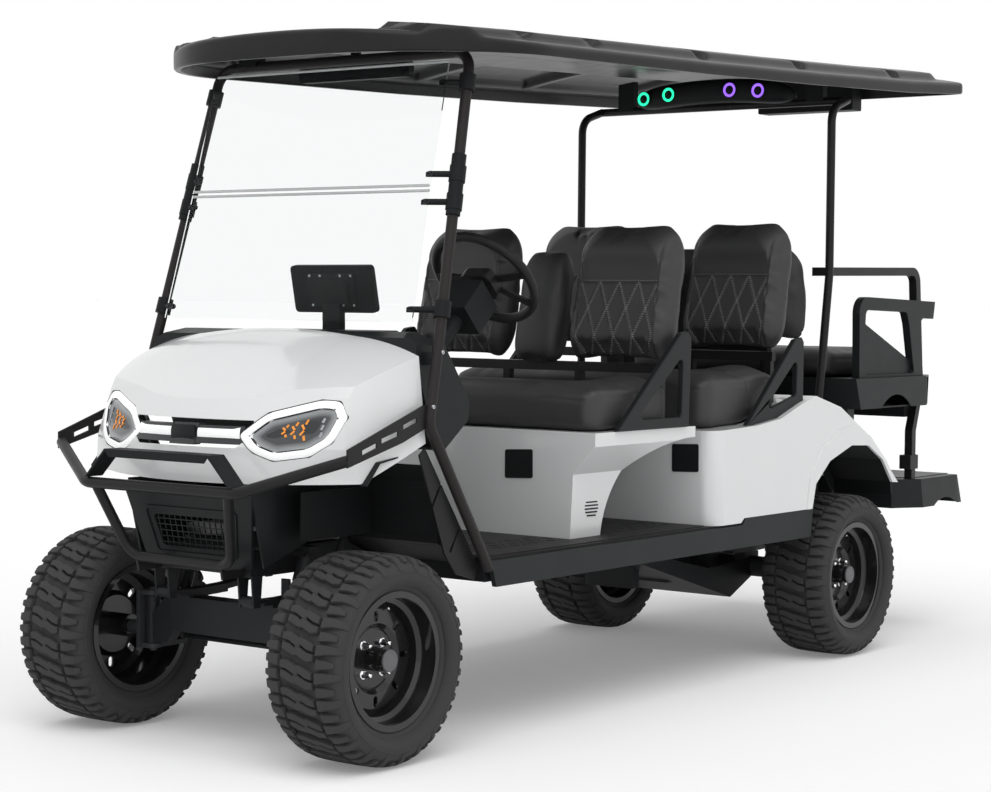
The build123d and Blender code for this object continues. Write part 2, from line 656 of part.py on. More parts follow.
def bumper_strap():
    """Bent band over the guard's middle, with a flange turned down along its front edge."""
    front = GUARD_FRONT_Y - GUARD_TUBE
    band = [(-284, 768), (-204, 851), (204, 851), (284, 768), (276, 767.4), (200, 844), (-200, 844), (-276, 767.4)]
    flange = [(-203, 850), (203, 850), (186, 828), (-186, 828)]
    return prism_y(band, front, STRAP_REAR) + prism_y(flange, front, front + 5)


save("bumper_plate", bumper_strap())

# ---------------------------------------------------------------- hoop, windshield, dash
WINDSHIELD_SLOPE = 0.26
PANE = 5


def pane(z0, z1, w0, w1):
    """Windshield pane on the raked plane ahead of the hoop."""
    y0 = 178 + WINDSHIELD_SLOPE * (z0 - 1170)
    y1 = 178 + WINDSHIELD_SLOPE * (z1 - 1170)
    slab = prism_x([(y0, z0), (y1, z1), (y1 + PANE, z1), (y0 + PANE, z0)], -w0 - 20, w0 + 20)
    return slab & prism_y([(-w0, z0), (w0, z0), (w1, z1), (-w1, z1)], y0 - 50, y1 + 50)


lower = pane(1215, 1592, 490, 470)
save("windshield_lower", lower)
upper = pane(1597, 1966, 470, 462)
save("windshield_upper", upper)

DASH = [(COWL_REAR, 1100), (COWL_REAR, 1170), (300, 1196), (420, 1200), (520, 1168), (560, 1100), (520, 1010), (420, 940),
        (300, 800), (268, 800), (268, 940)]
DASH_FACE = [(-520, 800), (520, 800), (520, 1150), (440, 1185), (-440, 1185), (-520, 1150)]


DASH_CHEEK = [(COWL_REAR, 1100), (COWL_REAR, 1170), (262, 1194), (290, 1166), (392, 1028), (417, 985), (412, 930),
              (302, 849), (268, 860)]
BINNACLE_HALF = 205


def dashboard():
    """Dash pad with angular cheeks and a deeper middle; its front seats under the cowl's rear edge."""
    pad = prism_x(DASH_CHEEK, -520, 520) + prism_x(DASH, -BINNACLE_HALF, BINNACLE_HALF)
    dash = pad & prism_y(DASH_FACE, 100, 700)
    dash += both_sides(block(500, 560, 200, 236, 1095, 1130)) - hoop_path(HOOP_TUBE + PIVOT_GAP)
    dash += cowl_solid(WALL + PIVOT_GAP) & block(-600, 600, COWL_REAR - 25, COWL_REAR, 1090, 1210)
    dash -= rod(on_column(60), on_column(660), COLUMN_RADIUS + 3) + rod(column_end, shaft_low, 16)
    dash -= ring_plane * (Pos(0, 0, -130) * Box(130, 120, 130))
    return dash


save("dashboard", dashboard())


# ---------------------------------------------------------------- seat pods and rear body
def front_pod(inset):
    foot, top = POD_FOOT_HALF - inset, POD_TOP_HALF - inset
    front, z1 = POD_FRONT + inset, POD_TOP - inset
    side = curve([(POD_FOOT_REAR - inset, FLOOR_TOP), (front, FLOOR_TOP), (front, z1), (1560 - inset, z1),
                  (1560 - inset, 836 + inset)], [(1420, 822 + inset), (1290 - inset, 768), (1200 - inset, 680)])
    face = [(-foot, FLOOR_TOP), (foot, FLOOR_TOP), (foot + 10, 740), (top, 830), (top, z1), (-top, z1),
            (-top, 830), (-foot - 10, 740)]
    return span_x(side, -top, top) & prism_y(face, front - 1, 1600)


save("front_seat_pod", front_pod(0) - front_pod(WALL) - block(-400, 400, 1000, 1120, 500, FLOOR_TOP + 10))

STRUT_POINTS = [(520, 2462, DECK_FRAME_TOP - 6), (546, 2485, 1380), (546, 2485, 1975), (540, 2610, 2015)]
STRUT_BEND = 70
ARCH = [
    # y, z along the wheel arch
    (2276, 553), (2300, 640), (2400, 716), (2560, 764), (2690, 758), (2800, 700), (2880, 612),
]
BODY_TOP = [
    # y, z along the top edge, rear to front
    (2934, 608), (2835, 690), (2697, 795), (2481, 905), (2300, 950), (2200, 925), (2060, 880), (1900, 862),
    (BODY_FRONT, 852),
]
BODY_FOOT = [(BODY_FRONT, FLOOR_TOP + 0.4), (1800, FLOOR_TOP + 0.4), (1820, 553)]


def rear_body_form(inset, arch_drop):
    """Whole rear body block, with its front corners rounded in plan."""
    foot = [(y + inset, z - arch_drop) for y, z in BODY_FOOT]
    arch = [(y, z - arch_drop) for y, z in ARCH]
    top = [(y + inset if y == BODY_FRONT else y - inset * 0.6, z - inset) for y, z in BODY_TOP]
    half = BODY_HALF - inset
    plan = [(-half, BODY_FRONT + inset), (half, BODY_FRONT + inset), (half, 2990), (-half, 2990)]
    return prism_x(foot + arch + top, -half, half) & prism_z(plan, 480, 1000, 60 - inset)


FLARE = [
    # y, z along the outer edge of the raised band
    (2240, 553), (2262, 660), (2350, 768), (2460, 822), (2570, 838), (2700, 792), (2812, 716), (2900, 612),
]
FLARE_HEIGHT = 5


def flare():
    """Raised band round the wheel arch, inside the body's silhouette."""
    band = prism_x(ARCH + FLARE[::-1], BODY_HALF - 1, BODY_HALF + FLARE_HEIGHT)
    silhouette = prism_x(BODY_FOOT + ARCH + BODY_TOP, BODY_HALF - 1, BODY_HALF + FLARE_HEIGHT)
    return band & silhouette


def rear_body():
    shell = rear_body_form(0, 0) - rear_body_form(WALL, 3)
    shell -= block(-ARCH_INNER_X, ARCH_INNER_X, 2300, 3000, 480, 1000)
    shell += both_sides(flare())
    return shell - both_sides(tube(STRUT_POINTS, STRUT_TUBE + PIVOT_GAP, STRUT_BEND))


def wheel_liners():
    """Inner arch skins with a wall on the inboard side."""
    under = [(2288, 554)] + [(y + 2, z) for y, z in ARCH[1:]] + [(2892, 554)]
    skin_pts = [(2284, 554), (2292, 646), (2396, 723), (2558, 770.5), (2692, 764.5), (2806, 704), (2892, 608),
                (2898, 554)]
    skin = prism_x(skin_pts, ARCH_INNER_X, BODY_HALF - WALL - 0.5)
    hollow = prism_x(under, ARCH_INNER_X + 4, BODY_HALF)
    return both_sides((skin - hollow) & rear_body_cavity())


def rear_body_cavity():
    return rear_body_form(WALL + 0.5, 60)


FRONT_WELL = [
    # y, z along the front wheel well's lip
    (-60, 770), (-6, 829), (99, 846), (178, 811), (228, 766), (246, 690),
]
WELL_INNER = 304


def front_wells():
    """Inner wall beside the front wheel, and the arched lip over it."""
    skin = [(y, z + 4) for y, z in FRONT_WELL[:3]] + [(y + 3, z + 3) for y, z in FRONT_WELL[3:]]
    well = prism_x(skin + [(249.7, 604), (-60, 604)], WELL_INNER - 4, 545) - prism_x(
        [(-61, 769)] + FRONT_WELL[1:] + [(246, 600), (-61, 600)], WELL_INNER, 546)
    return both_sides(well - cowl_solid(-0.5))


save("rear_body", rear_body())
save("wheel_liners", wheel_liners() + front_wells())


# ---------------------------------------------------------------- roof
ROOF_SECTIONS = [
    # y, z under the skirt at the sides, z of the top edge at the sides, z at the centre
    (95, 1964, 2010, 2070),
    (600, 1980, 2028, 2096),
    (1500, 2004, 2050, 2120),
    (2200, 2027, 2074, 2144),
    (2900, 2056, 2104, 2172),
    (3352, 2086, 2131, 2190),
]
ROOF_SKIN = 10
ROOF_BLOCKS = [(230, 565), (605, 912), (950, 1525), (1565, 2165), (2205, 2862), (2905, 3236)]
BLOCK_LIFT = 24


def roof_form(inset, lift):
    """Crowned roof solid: a loft along the cart, trimmed to a plan outline with a bowed front."""
    half = ROOF_HALF - inset
    drop = 80 if inset else 0
    ribs = []
    for y, z_under, z_edge, z_top in ROOF_SECTIONS:
        face = make_face(
            Polyline((-half, z_edge - inset + lift), (-half, z_under - drop), (half, z_under - drop),
                     (half, z_edge - inset + lift))
            + ThreePointArc((half, z_edge - inset + lift), (0, z_top - inset + lift),
                            (-half, z_edge - inset + lift))
        )
        ribs.append(Plane.XZ.offset(-y) * face)
    front, rear = ROOF_FRONT + inset, ROOF_REAR - inset
    corner = 110 - inset
    plan = make_face(
        Polyline((-half, front + 90), (-half, rear), (half, rear), (half, front + 90))
        + ThreePointArc((half, front + 90), (0, front), (-half, front + 90))
    )
    plan = fillet(plan.vertices(), corner)
    return loft(ribs, ruled=True) & extrude(Plane.XY.offset(1800) * plan, 600)


def roof():
    raised = Part()
    for y0, y1 in ROOF_BLOCKS:
        pad = [(330, y0), (585, y0), (585, y1), (330, y1)]
        raised += prism_z(pad, 2000, 2300, 24)
    shell = roof_form(0, 0) + (roof_form(0, BLOCK_LIFT) & both_sides(raised))
    return shell - roof_form(ROOF_SKIN, 0)


save("roof", roof())
under_skin = roof_form(ROOF_SKIN + PIVOT_GAP, 0)
strut = tube(STRUT_POINTS, STRUT_TUBE, STRUT_BEND)
strut -= block(400, 600, 2400, 2520, 850, DECK_FRAME_TOP + PIVOT_GAP)
save("rear_roof_struts", both_sides(strut) + rod_x(-541, 541, 2606, 2013.6, STRUT_TUBE))


def roof_pads():
    pads = both_sides(block(330, 400, 420, 464, 1992, 2200)) - hoop_path(HOOP_TUBE + PIVOT_GAP)
    rear = both_sides(block(380, 450, 2590, 2622, 2013, 2200)) - rod_x(-560, 560, 2606, 2013.6,
                                                                       STRUT_TUBE + PIVOT_GAP)
    return (pads + rear) & under_skin


bar_face = make_face(
    Line((330, 2052), (330, 2096)) + ThreePointArc((330, 2096), (0, 2122), (-330, 2096))
    + Line((-330, 2096), (-330, 2052)) + ThreePointArc((-330, 2052), (0, 2076), (330, 2052))
)
speaker_bar = extrude(Plane.XZ.offset(-2540) * bar_face, 80) + block(-60, 60, 2485, 2515, 2100, 2250)
save("speaker_bar", speaker_bar & under_skin)
save("roof_console", block(-215, 215, 3250, 3330, 2040, 2250) & under_skin)
mirror_post = block(-16, 16, 505, 517, 1985, 2200)
save("rear_view_mirror", prism_y([(-220, 1940), (220, 1940), (220, 1990), (-220, 1990)], 498, 522, 18)
     + (mirror_post & under_skin))


# ---------------------------------------------------------------- windshield clamps, pedals, display
CLAMPS = [
    # z, x and y of the hoop centre, x where the clamp meets the pane
    (1250, 552, 250, 462),
    (1555, 529, 329, 448),
    (1635, 523, 350, 448),
    (1900, 502, 418, 440),
]


def hoop_clamps():
    along = Vector(*HOOP_POINTS[0]) - Vector(*HOOP_POINTS[1])
    along = along.normalized()
    clamps = Part()
    for z, x, y, x_pane in CLAMPS:
        centre = Vector(x, y, z)
        pane_y = 178 + WINDSHIELD_SLOPE * (z - 1170)
        clamps += rod(centre - along * 24, centre + along * 24, HOOP_TUBE + 8)
        clamps += rod((x_pane, pane_y, z), centre, 9)
    clamps += rod(Vector(528, 333, 1575) - along * 60, Vector(528, 333, 1575) + along * 120, HOOP_TUBE + 5)
    clamps -= hoop_path(HOOP_TUBE + PIVOT_GAP)
    for sheet in (lower, upper):
        clamps -= sheet + Pos(0, PIVOT_GAP, 0) * sheet + Pos(0, -PANE, 0) * sheet + Pos(0, -2 * PANE, 0) * sheet
    return clamps


save("hoop_and_roof_clamps", both_sides(hoop_clamps()) + roof_pads())


def pedal(x, width):
    arm = prism_x([(262.3, 700), (262.3, 676), (396, 596), (404, 612)], x - 7, x + 7)
    return arm + prism_x([(384, 560), (396, 555), (428, 640), (416, 646)], x - width / 2, x + width / 2)


save("pedals", pedal(210, 62) + pedal(325, 90) + block(190, 350, 262.3, 272, 672, 704))
neck = block(-34, 34, 404, 430, 1185.3, 1262)
save("display_tablet", neck + Pos(0, 420, 1308) * Rot(12, 0, 0) * extrude(
    Plane.XZ.offset(-9) * fillet(Rectangle(322, 144).vertices(), 14), 18))


# ---------------------------------------------------------------- seats
CUSHION_HALF = 560
ROW_SHIFT = Pos(0, 700, 30)


def seat_back(x0, x1, top, radius):
    """Leaning back pad with rounded corners, for the front row."""
    side = [(1400, 1075), (1500, 1545), (1606, 1545), (1530, 1075)]
    return prism_x(side, x0, x1, 20) & prism_y([(x0, 1075), (x1, 1075), (x1, top), (x0, top)], 1300, 1700, radius)


def cushion(side, half):
    """Seat cushion given as a side outline, with rounded plan corners."""
    ys = [y for y, z in side]
    plan = [(-half, min(ys)), (half, min(ys)), (half, max(ys)), (-half, max(ys))]
    return prism_x(side, -half, half) & prism_z(plan, 800, 1300, 60)


backs = both_sides(seat_back(100, 560, 1545, 55)) + seat_back(-95, 95, 1443, 40)
save("seat_backs", backs + ROW_SHIFT * backs)
front_pad = [(990, 895), (990, 985), (1015, 1018), (1455, 1000), (1480, 975), (1480, 872.3), (1010, 872.3)]
save("front_seat_cushion", cushion(front_pad, CUSHION_HALF))
middle_pad = [(1650, 880), (1650, 1000), (1680, 1040), (2140, 1030), (2168, 1000), (2168, 915), (2060, 880.4),
              (1900, 862.4), (1665, 853.7)]
save("middle_seat_cushion", cushion(middle_pad, CUSHION_HALF))


def seat_frame(foot, y, top):
    """Posts and a cross bar that carry one row of backs; foot is the outline of the post feet."""
    frame_bars = block(-490, 490, y, y + 24, top - 32, top)
    for x in (-470, -150, 150, 470):
        frame_bars += prism_x(foot + [(y + 24, top - 1), (y, top - 1)], x - 14, x + 14)
    return frame_bars


rear_back_frame = both_sides(block(285, 315, 2448, 2478, DECK_FRAME_TOP + 0.3, 1129.7))
rear_back_frame += block(-300, 300, 2452, 2476, 1100, 1129.7)
save("seat_frames", seat_frame([(1484, 872.3), (1508, 872.3)], 1484, 1074.7)
     + seat_frame([(2184, 920.2), (2200, 925.3), (2208, 927.3)], 2184, 1104.7) + rear_back_frame)


def hip_restraint(base, top, opening, x0):
    """Triangular side restraint with an opening, standing on a seat box."""
    return prism_x(base + top, x0, x0 + 20) - prism_x(opening, x0 - 1, x0 + 21, 14)


front_hip = hip_restraint([(1090, 872.3), (1500, 872.3)], [(1512, 1160), (1490, 1182), (1448, 1176)],
                          [(1195, 905), (1455, 905), (1462, 1105)], 562)
middle_hip = hip_restraint([(1860, 861), (1900, 862.3), (2060, 880.3), (2200, 925.3), (2240, 935.3)],
                           [(2240, 1140), (2225, 1158), (2180, 1150)], [(1960, 900), (2190, 955), (2195, 1085)], 566)
save("hip_restraints", both_sides(front_hip + middle_hip))


# ---------------------------------------------------------------- rear deck and rear-facing seat
DECK_TOP = 1003
HINGE_Y, HINGE_Z = 3170, 1060
REAR_CUSHION_HALF = 470


TRAY_ARCH_TOP = 938
TRAY_PLAN = [(-600, 2590), (600, 2590), (600, 3165), (540, 3305), (-540, 3305), (-600, 3165)]


def rear_deck():
    side = [(2600, DECK_TOP), (3300, DECK_TOP), (3235, DECK_FRAME_TOP + 0.3), (2640, DECK_FRAME_TOP + 0.3)]
    well = [(2608, DECK_TOP + 1), (3290, DECK_TOP + 1), (3230, DECK_FRAME_TOP + 5.3), (2645, DECK_FRAME_TOP + 5.3)]
    tray = prism_x(side, -600, 600) - prism_x(well, -595, 595)
    for y in (2700, 3110):
        tray += block(-596, 596, y, y + 8, DECK_FRAME_TOP + 1, DECK_TOP)
    tray += both_sides(block(476, 596, 2606, 3290, DECK_TOP - 6, DECK_TOP))
    arch = make_face(Line((2790, 880), (3050, 880)) + ThreePointArc((3050, 880), (2920, TRAY_ARCH_TOP), (2790, 880)))
    tray -= both_sides(span_x(arch, 590, 610))
    return tray & prism_z(TRAY_PLAN, 880, DECK_TOP + 1)


def rear_cushion():
    side = [(2640, 1035), (2640, 1085), (2665, 1110), (3125, 1110), (3150, 1085), (3150, DECK_TOP + 0.3),
            (2655, DECK_TOP + 0.3)]
    half = REAR_CUSHION_HALF
    lug = prism_x([(3130, 1046), (3130, 1074), (HINGE_Y, 1074), (HINGE_Y, 1046)], half - 18, half)
    lug += rod_x(half - 18, half, HINGE_Y, HINGE_Z, 14)
    pad = prism_x(side, -half, half) + both_sides(lug)
    return pad - both_sides(rod_x(half - 19, half + 1, HINGE_Y, HINGE_Z, 5 + PIVOT_GAP))


def hinge_brackets():
    half = REAR_CUSHION_HALF + 2
    plate = prism_x([(3145, DECK_TOP + 0.3), (3200, DECK_TOP + 0.3), (3182, 1072), (3158, 1072)], half, half + 8)
    return plate + rod_x(half - 18, half + 1, HINGE_Y, HINGE_Z, 5)


save("rear_deck", rear_deck() + both_sides(hinge_brackets()))
save("rear_seat_cushion", rear_cushion())
rear_back = [(2450, 1130), (2580, 1130), (2540, 1500), (2430, 1500)]
save("rear_seat_back", prism_x(rear_back, -470, 470, 20) & prism_y(
    [(-470, 1130), (470, 1130), (470, 1500), (-470, 1500)], 2400, 2600, 50))
ARM_INNER, ARM_OUTER = 545, 575
ARM_WEB = (552, 560)
ARM_EDGE = [(2671, DECK_TOP + 0.3), (2664, 1303), (3277, 1286), (3264, 1220), (3150, 1224), (3184, DECK_TOP + 0.3)]
ARM_DIAGONAL = [(2712, 1212), (3096, 1063)]


def armrest():
    """Moulded arm: a rounded frame with a rear stub, and a thin web under a diagonal."""
    front_low, rear_low = ARM_DIAGONAL
    window = rounded([front_low, (2716, 1254), (3040, 1246), (3062, 1200), rear_low], {1: 22, 2: 18})
    recess = rounded([front_low, rear_low, (3110, 1014), (2712, 1014)], {2: 10, 3: 10})
    arm = span_x(rounded(ARM_EDGE, {1: 60, 4: 30}), ARM_INNER, ARM_OUTER)
    arm -= span_x(window, ARM_INNER - 5, ARM_OUTER + 5)
    return arm - span_x(recess, ARM_WEB[1], ARM_OUTER + 5) - span_x(recess, ARM_INNER - 5, ARM_WEB[0])


save("rear_armrests", both_sides(armrest()))
GRAB_TUBE = 32
GRAB_X = 500


def grab_rail():
    """Square tube from the roof strut back over the armrest and down to the deck."""
    x0, x1 = GRAB_X - GRAB_TUBE / 2, GRAB_X + GRAB_TUBE / 2
    outer = rounded([(2470, 1000), (2470, 1406), (3262, 1418), (3300, DECK_TOP + 0.3)], {2: 62})
    inner = rounded([(2400, 900), (2400, 1406 - GRAB_TUBE), (3262 - GRAB_TUBE, 1418 - GRAB_TUBE),
                     (3300 - GRAB_TUBE, 900)], {2: 62 - GRAB_TUBE})
    rail = span_x(outer, x0, x1) - span_x(inner, x0 - 1, x1 + 1)
    lug = block(505, 546, 2470, 2500, 1376, 1404) - tube(STRUT_POINTS, STRUT_TUBE + PIVOT_GAP, STRUT_BEND)
    return rail + lug


save("rear_grab_rails", both_sides(grab_rail()))


# ---------------------------------------------------------------- footrest
FOOTREST_TOP, FOOTREST_HEM = 600, 490
TREAD_TOP = FOOTREST_TOP + 3
FOOTREST_HALF, SKIRT_SLOPE = 565, 7


def footrest():
    def plan(inset):
        front, half = 490 - inset, FOOTREST_HALF - inset
        y0, y1, y2 = 3105 + inset, 3225 + inset * 0.4, FOOTREST_REAR - inset
        return outline([(-front, y0), (front, y0), (half, y1), (half, y2), (-half, y2), (-half, y1)])
    height = FOOTREST_TOP - FOOTREST_HEM
    shell = extrude(Plane.XY.offset(FOOTREST_HEM) * plan(0), height, taper=SKIRT_SLOPE)
    shell -= extrude(Plane.XY.offset(FOOTREST_HEM - WALL) * plan(WALL), height, taper=SKIRT_SLOPE)
    hem = FOOTREST_HEM
    arch = make_face(Line((3320, hem - 1), (3530, hem - 1)) + ThreePointArc((3530, hem - 1), (3425, hem + 28), (3320, hem - 1)))
    shell -= span_x(arch, -600, 600)
    shell += prism_z([(-455, 3200), (455, 3200), (510, 3235), (510, FOOTREST_REAR - 15), (-510, FOOTREST_REAR - 15),
                      (-510, 3235)], FOOTREST_TOP - 1, TREAD_TOP)
    return shell


save("footrest", footrest())
LEG_X = (500, 532)
leg = [(3187, 600.3), (3219, 600.3), (3219, 785), (3255, 889.7), (3223, 889.7), (3187, 790)]


def footrest_strut():
    """Square leg with a kink, and the clamp that takes the footrest."""
    x0, x1 = LEG_X
    return prism_x(leg, x0, x1) + block(x0 - 8, x1 + 8, 3160, 3226, 640, 694)


save("footrest_struts", both_sides(footrest_strut()))
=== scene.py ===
"""Looks of a lifted six-seat golf cart, built round its packed rigid frame.

Places are given in millimetres from the point on the ground under the front axle: x to the
cart's left, y rearward, z up. The at() function turns them into the frame's metres.
"""

from __future__ import annotations

import logging
import math
from dataclasses import dataclass
from enum import Enum
from functools import cache
from typing import Callable, Iterable, Sequence

import bmesh
import bpy
import numpy as np
from mathutils import Matrix, Vector
from mathutils.bvhtree import BVHTree


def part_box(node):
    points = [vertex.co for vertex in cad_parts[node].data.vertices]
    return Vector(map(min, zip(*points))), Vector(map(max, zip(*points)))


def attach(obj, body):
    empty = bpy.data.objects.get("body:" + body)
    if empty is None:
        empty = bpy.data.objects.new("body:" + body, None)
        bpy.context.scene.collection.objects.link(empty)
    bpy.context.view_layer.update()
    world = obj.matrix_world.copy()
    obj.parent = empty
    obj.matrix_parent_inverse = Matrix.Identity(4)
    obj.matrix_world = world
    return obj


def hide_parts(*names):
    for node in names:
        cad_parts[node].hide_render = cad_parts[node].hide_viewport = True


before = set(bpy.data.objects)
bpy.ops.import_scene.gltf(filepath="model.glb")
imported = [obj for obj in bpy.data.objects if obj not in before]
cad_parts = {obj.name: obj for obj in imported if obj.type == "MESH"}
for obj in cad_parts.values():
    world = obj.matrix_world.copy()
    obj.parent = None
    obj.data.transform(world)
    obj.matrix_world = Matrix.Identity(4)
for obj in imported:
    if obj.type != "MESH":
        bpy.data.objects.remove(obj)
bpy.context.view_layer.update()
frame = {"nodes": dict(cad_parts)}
log = logging.getLogger("golf_cart")

MM = 0.001
FRONT_AXLE_Y = -1.6175
WHEELBASE = 2573.0
AXLE_Z = 292.0
SIDES = ((1, "left"), (-1, "right"))
SQUARE = ((-1, -1), (1, -1), (1, 1), (-1, 1))
Point = Sequence[float]
Pair = tuple[float, float]
Triple = tuple[float, float, float]
Outline = Sequence[Pair]
Piece = bpy.types.Object
Material = bpy.types.Material
Tree = bpy.types.NodeTree
Node = bpy.types.Node
Socket = bpy.types.NodeSocket


# ---- places and small helpers
def at(x: float, y: float, z: float) -> Vector:
    """Turn a place in millimetres from the front axle into the frame's metres."""
    return Vector((x * MM, y * MM + FRONT_AXLE_Y, z * MM))


def groove(distance: float, depth: float, width: float) -> float:
    """Return how deep a soft groove, or how high a soft rib, is at a distance from its middle."""
    return depth * math.exp(-(distance / width) ** 2)


def back(spot: Point) -> Vector:
    """Turn a place in the frame's metres into millimetres from the front axle, the reverse of at()."""
    return Vector((spot[0] / MM, (spot[1] - FRONT_AXLE_Y) / MM, spot[2] / MM))


def smoothstep(low: float, high: float, value: float) -> float:
    """Return a smooth 0 to 1 ramp of value between low and high."""
    t = min(max((value - low) / (high - low), 0.0), 1.0)
    return t * t * (3 - 2 * t)


class MeshBuilder:
    """Collects vertices and faces of one piece, in millimetres from the front axle."""

    def __init__(self) -> None:
        """Start empty."""
        self.vertices: list[Vector] = []
        self.faces: list[tuple[int, ...]] = []
        self.marks: list[int] = []

    def add(self, points: Iterable[Point]) -> list[int]:
        """Add points and return their indices.

        Args:
            points: places in millimetres.

        Returns:
            One index for each point.
        """
        start = len(self.vertices)
        self.vertices.extend(Vector(p) for p in points)
        return list(range(start, len(self.vertices)))

    def face(self, indices: Sequence[int], mark: int = 0) -> None:
        """Add one face with a material index."""
        self.faces.append(tuple(indices))
        self.marks.append(mark)

    def grid(self, rows: list[list[int]], wrap_row: bool = False, wrap_column: bool = False,
             mark: int = 0) -> None:
        """Skin rows of indices with quads.

        Args:
            rows: equally long rows of vertex indices.
            wrap_row: joins each row's end to its start.
            wrap_column: joins the last row to the first.
            mark: material index of the quads.
        """
        n_rows, n = len(rows), len(rows[0])
        for i in range(n_rows if wrap_column else n_rows - 1):
            upper, lower = rows[i], rows[(i + 1) % n_rows]
            for j in range(n if wrap_row else n - 1):
                k = (j + 1) % n
                self.face((upper[j], upper[k], lower[k], lower[j]), mark)

    def ring_loft(self, rings: list[list[Point]], cap_start: bool = True) -> None:
        """Join closed rings of points into one tube with a flat cap at its end.

        Args:
            rings: equally long closed rings.
            cap_start: closes the first ring too.
        """
        rows = [self.add(r) for r in rings]
        self.grid(rows, wrap_row=True)
        if cap_start:
            self.face(tuple(rows[0]))
        self.face(tuple(reversed(rows[-1])))

    def lathe(self, profile: Outline, centre: Point = (0, 0, 0), axis: Point = (1, 0, 0), steps: int = 48,
              closed: bool = False, mark: int = 0) -> None:
        """Turn a profile about an axis.

        Args:
            profile: (distance along the axis, radius) pairs.
            centre: a point on the axis.
            axis: direction of the axis.
            steps: sides of the turned form.
            closed: joins the profile's end to its start.
            mark: material index.
        """
        z = Vector(axis).normalized()
        u = z.orthogonal().normalized()
        v = z.cross(u)
        c = Vector(centre)
        turns = [2 * math.pi * k / steps for k in range(steps)]
        rows = [self.add(c + z * along + (u * math.cos(a) + v * math.sin(a)) * radius for a in turns)
                for along, radius in profile]
        self.grid(rows, wrap_row=True, wrap_column=closed, mark=mark)
        if not closed:
            if profile[0][1] > 1e-6:
                self.face(tuple(rows[0]), mark)
            if profile[-1][1] > 1e-6:
                self.face(tuple(reversed(rows[-1])), mark)

    def tube(self, path: Sequence[Point], radius: float, sides: int = 12) -> None:
        """Sweep a round section along an open path without twist.

        Args:
            path: points of the centre line.
            radius: radius of the section.
            sides: sides of the section.
        """
        pts = [Vector(p) for p in path]
        last = len(pts) - 1
        tangents = [(pts[min(i + 1, last)] - pts[max(i - 1, 0)]).normalized() for i in range(last + 1)]
        u = tangents[0].orthogonal().normalized()
        rings = []
        for p, t in zip(pts, tangents):
            u = (u - t * u.dot(t)).normalized()
            w = t.cross(u)
            rings.append([p + u * math.cos(a) * radius + w * math.sin(a) * radius
                          for a in (2 * math.pi * k / sides for k in range(sides))])
        self.ring_loft(rings)

    def build(self, name: str, materials: Sequence[Material], smooth_angle: float = 40.0) -> Piece:
        """Make the object.

        Args:
            name: the piece's name.
            materials: its finishes, in the order of the marks.
            smooth_angle: edges sharper than this many degrees stay sharp.

        Returns:
            The new object, linked to the scene.
        """
        mesh = bpy.data.meshes.new(name)
        mesh.from_pydata([at(*v) for v in self.vertices], [], self.faces)
        mesh.polygons.foreach_set("material_index", self.marks)
        bm = bmesh.new()
        bm.from_mesh(mesh)
        bmesh.ops.recalc_face_normals(bm, faces=bm.faces)
        bm.to_mesh(mesh)
        bm.free()
        for material in materials:
            mesh.materials.append(material)
        mesh.shade_smooth()
        mesh.set_sharp_from_angle(angle=math.radians(smooth_angle))
        return link_object(name, mesh)


def link_object(name: str, data: bpy.types.ID) -> Piece:
    """Make an object for some data, linked to the scene."""
    made = bpy.data.objects.new(name, data)
    bpy.context.scene.collection.objects.link(made)
    return made


def centred_mesh(build: MeshBuilder, name: str, materials: Sequence[Material], smooth_angle: float
                 ) -> bpy.types.Mesh:
    """Return the mesh of a part that is copied to each wheel, centred on its own axis.

    Args:
        build: holds the part, made round the X axis through the origin.
        name: the mesh's name.
        materials: its finishes.
        smooth_angle: edges sharper than this many degrees stay sharp.

    Returns:
        The mesh, on no object.
    """
    piece = build.build(name, materials, smooth_angle)
    mesh = piece.data
    mesh.transform(Matrix.Translation((0.0, -FRONT_AXLE_Y, 0.0)))
    bpy.data.objects.remove(piece)
    return mesh


def place(piece: Piece, body: str, slot: str, replaced: Sequence[str] = ()) -> Piece:
    """Let a piece ride on a body and hide the rigid nodes that it stands for.

    Args:
        piece: the finished object.
        body: the body that carries it.
        slot: the record's material slot; not used.
        replaced: rigid nodes that it stands for.

    Returns:
        The same object.
    """
    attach(piece, body)
    if replaced:
        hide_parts(*replaced)
    log.info("piece %s on %s: %d faces", piece.name, body, len(piece.data.polygons))
    return piece


def put(build: MeshBuilder, name: str, finish: Finish, slot: str, smooth_angle: float = 40.0,
        replaced: Sequence[str] = ()) -> None:
    """Make a piece in one finish and let it ride on the chassis."""
    place(build.build(name, [finish.material()], smooth_angle), "chassis", slot, replaced)


# ---- shader helpers
def new_material(name: str) -> tuple[Material, Tree, Node]:
    """Return a new node material, its tree and its shader."""
    material = bpy.data.materials.new(name)
    material.use_nodes = True
    return material, material.node_tree, material.node_tree.nodes["Principled BSDF"]


def set_inputs(node: Node, values: dict[str, object]) -> None:
    """Set plain values on a node's inputs, by their names."""
    for label, value in values.items():
        node.inputs[label].default_value = value


def feed(tree: Tree, socket: Socket, value: Socket | float) -> None:
    """Link a socket's source, or set its plain value."""
    if isinstance(value, (int, float)):
        socket.default_value = value
    else:
        tree.links.new(value, socket)


def math_node(tree: Tree, operation: str, first: Socket | float,
              second: Socket | float) -> Socket:
    """Add a Math node fed by sockets or numbers and return its output."""
    node = tree.nodes.new("ShaderNodeMath")
    node.operation = operation
    feed(tree, node.inputs[0], first)
    feed(tree, node.inputs[1], second)
    return node.outputs[0]


# ---- shader groups
class Effect(Enum):
    """Surface effects that several finishes share."""

    MOULD_GRAIN = "mould_grain"
    VINYL_GRAIN = "vinyl_grain"
    ORANGE_PEEL = "orange_peel"
    HANDLING = "handling"


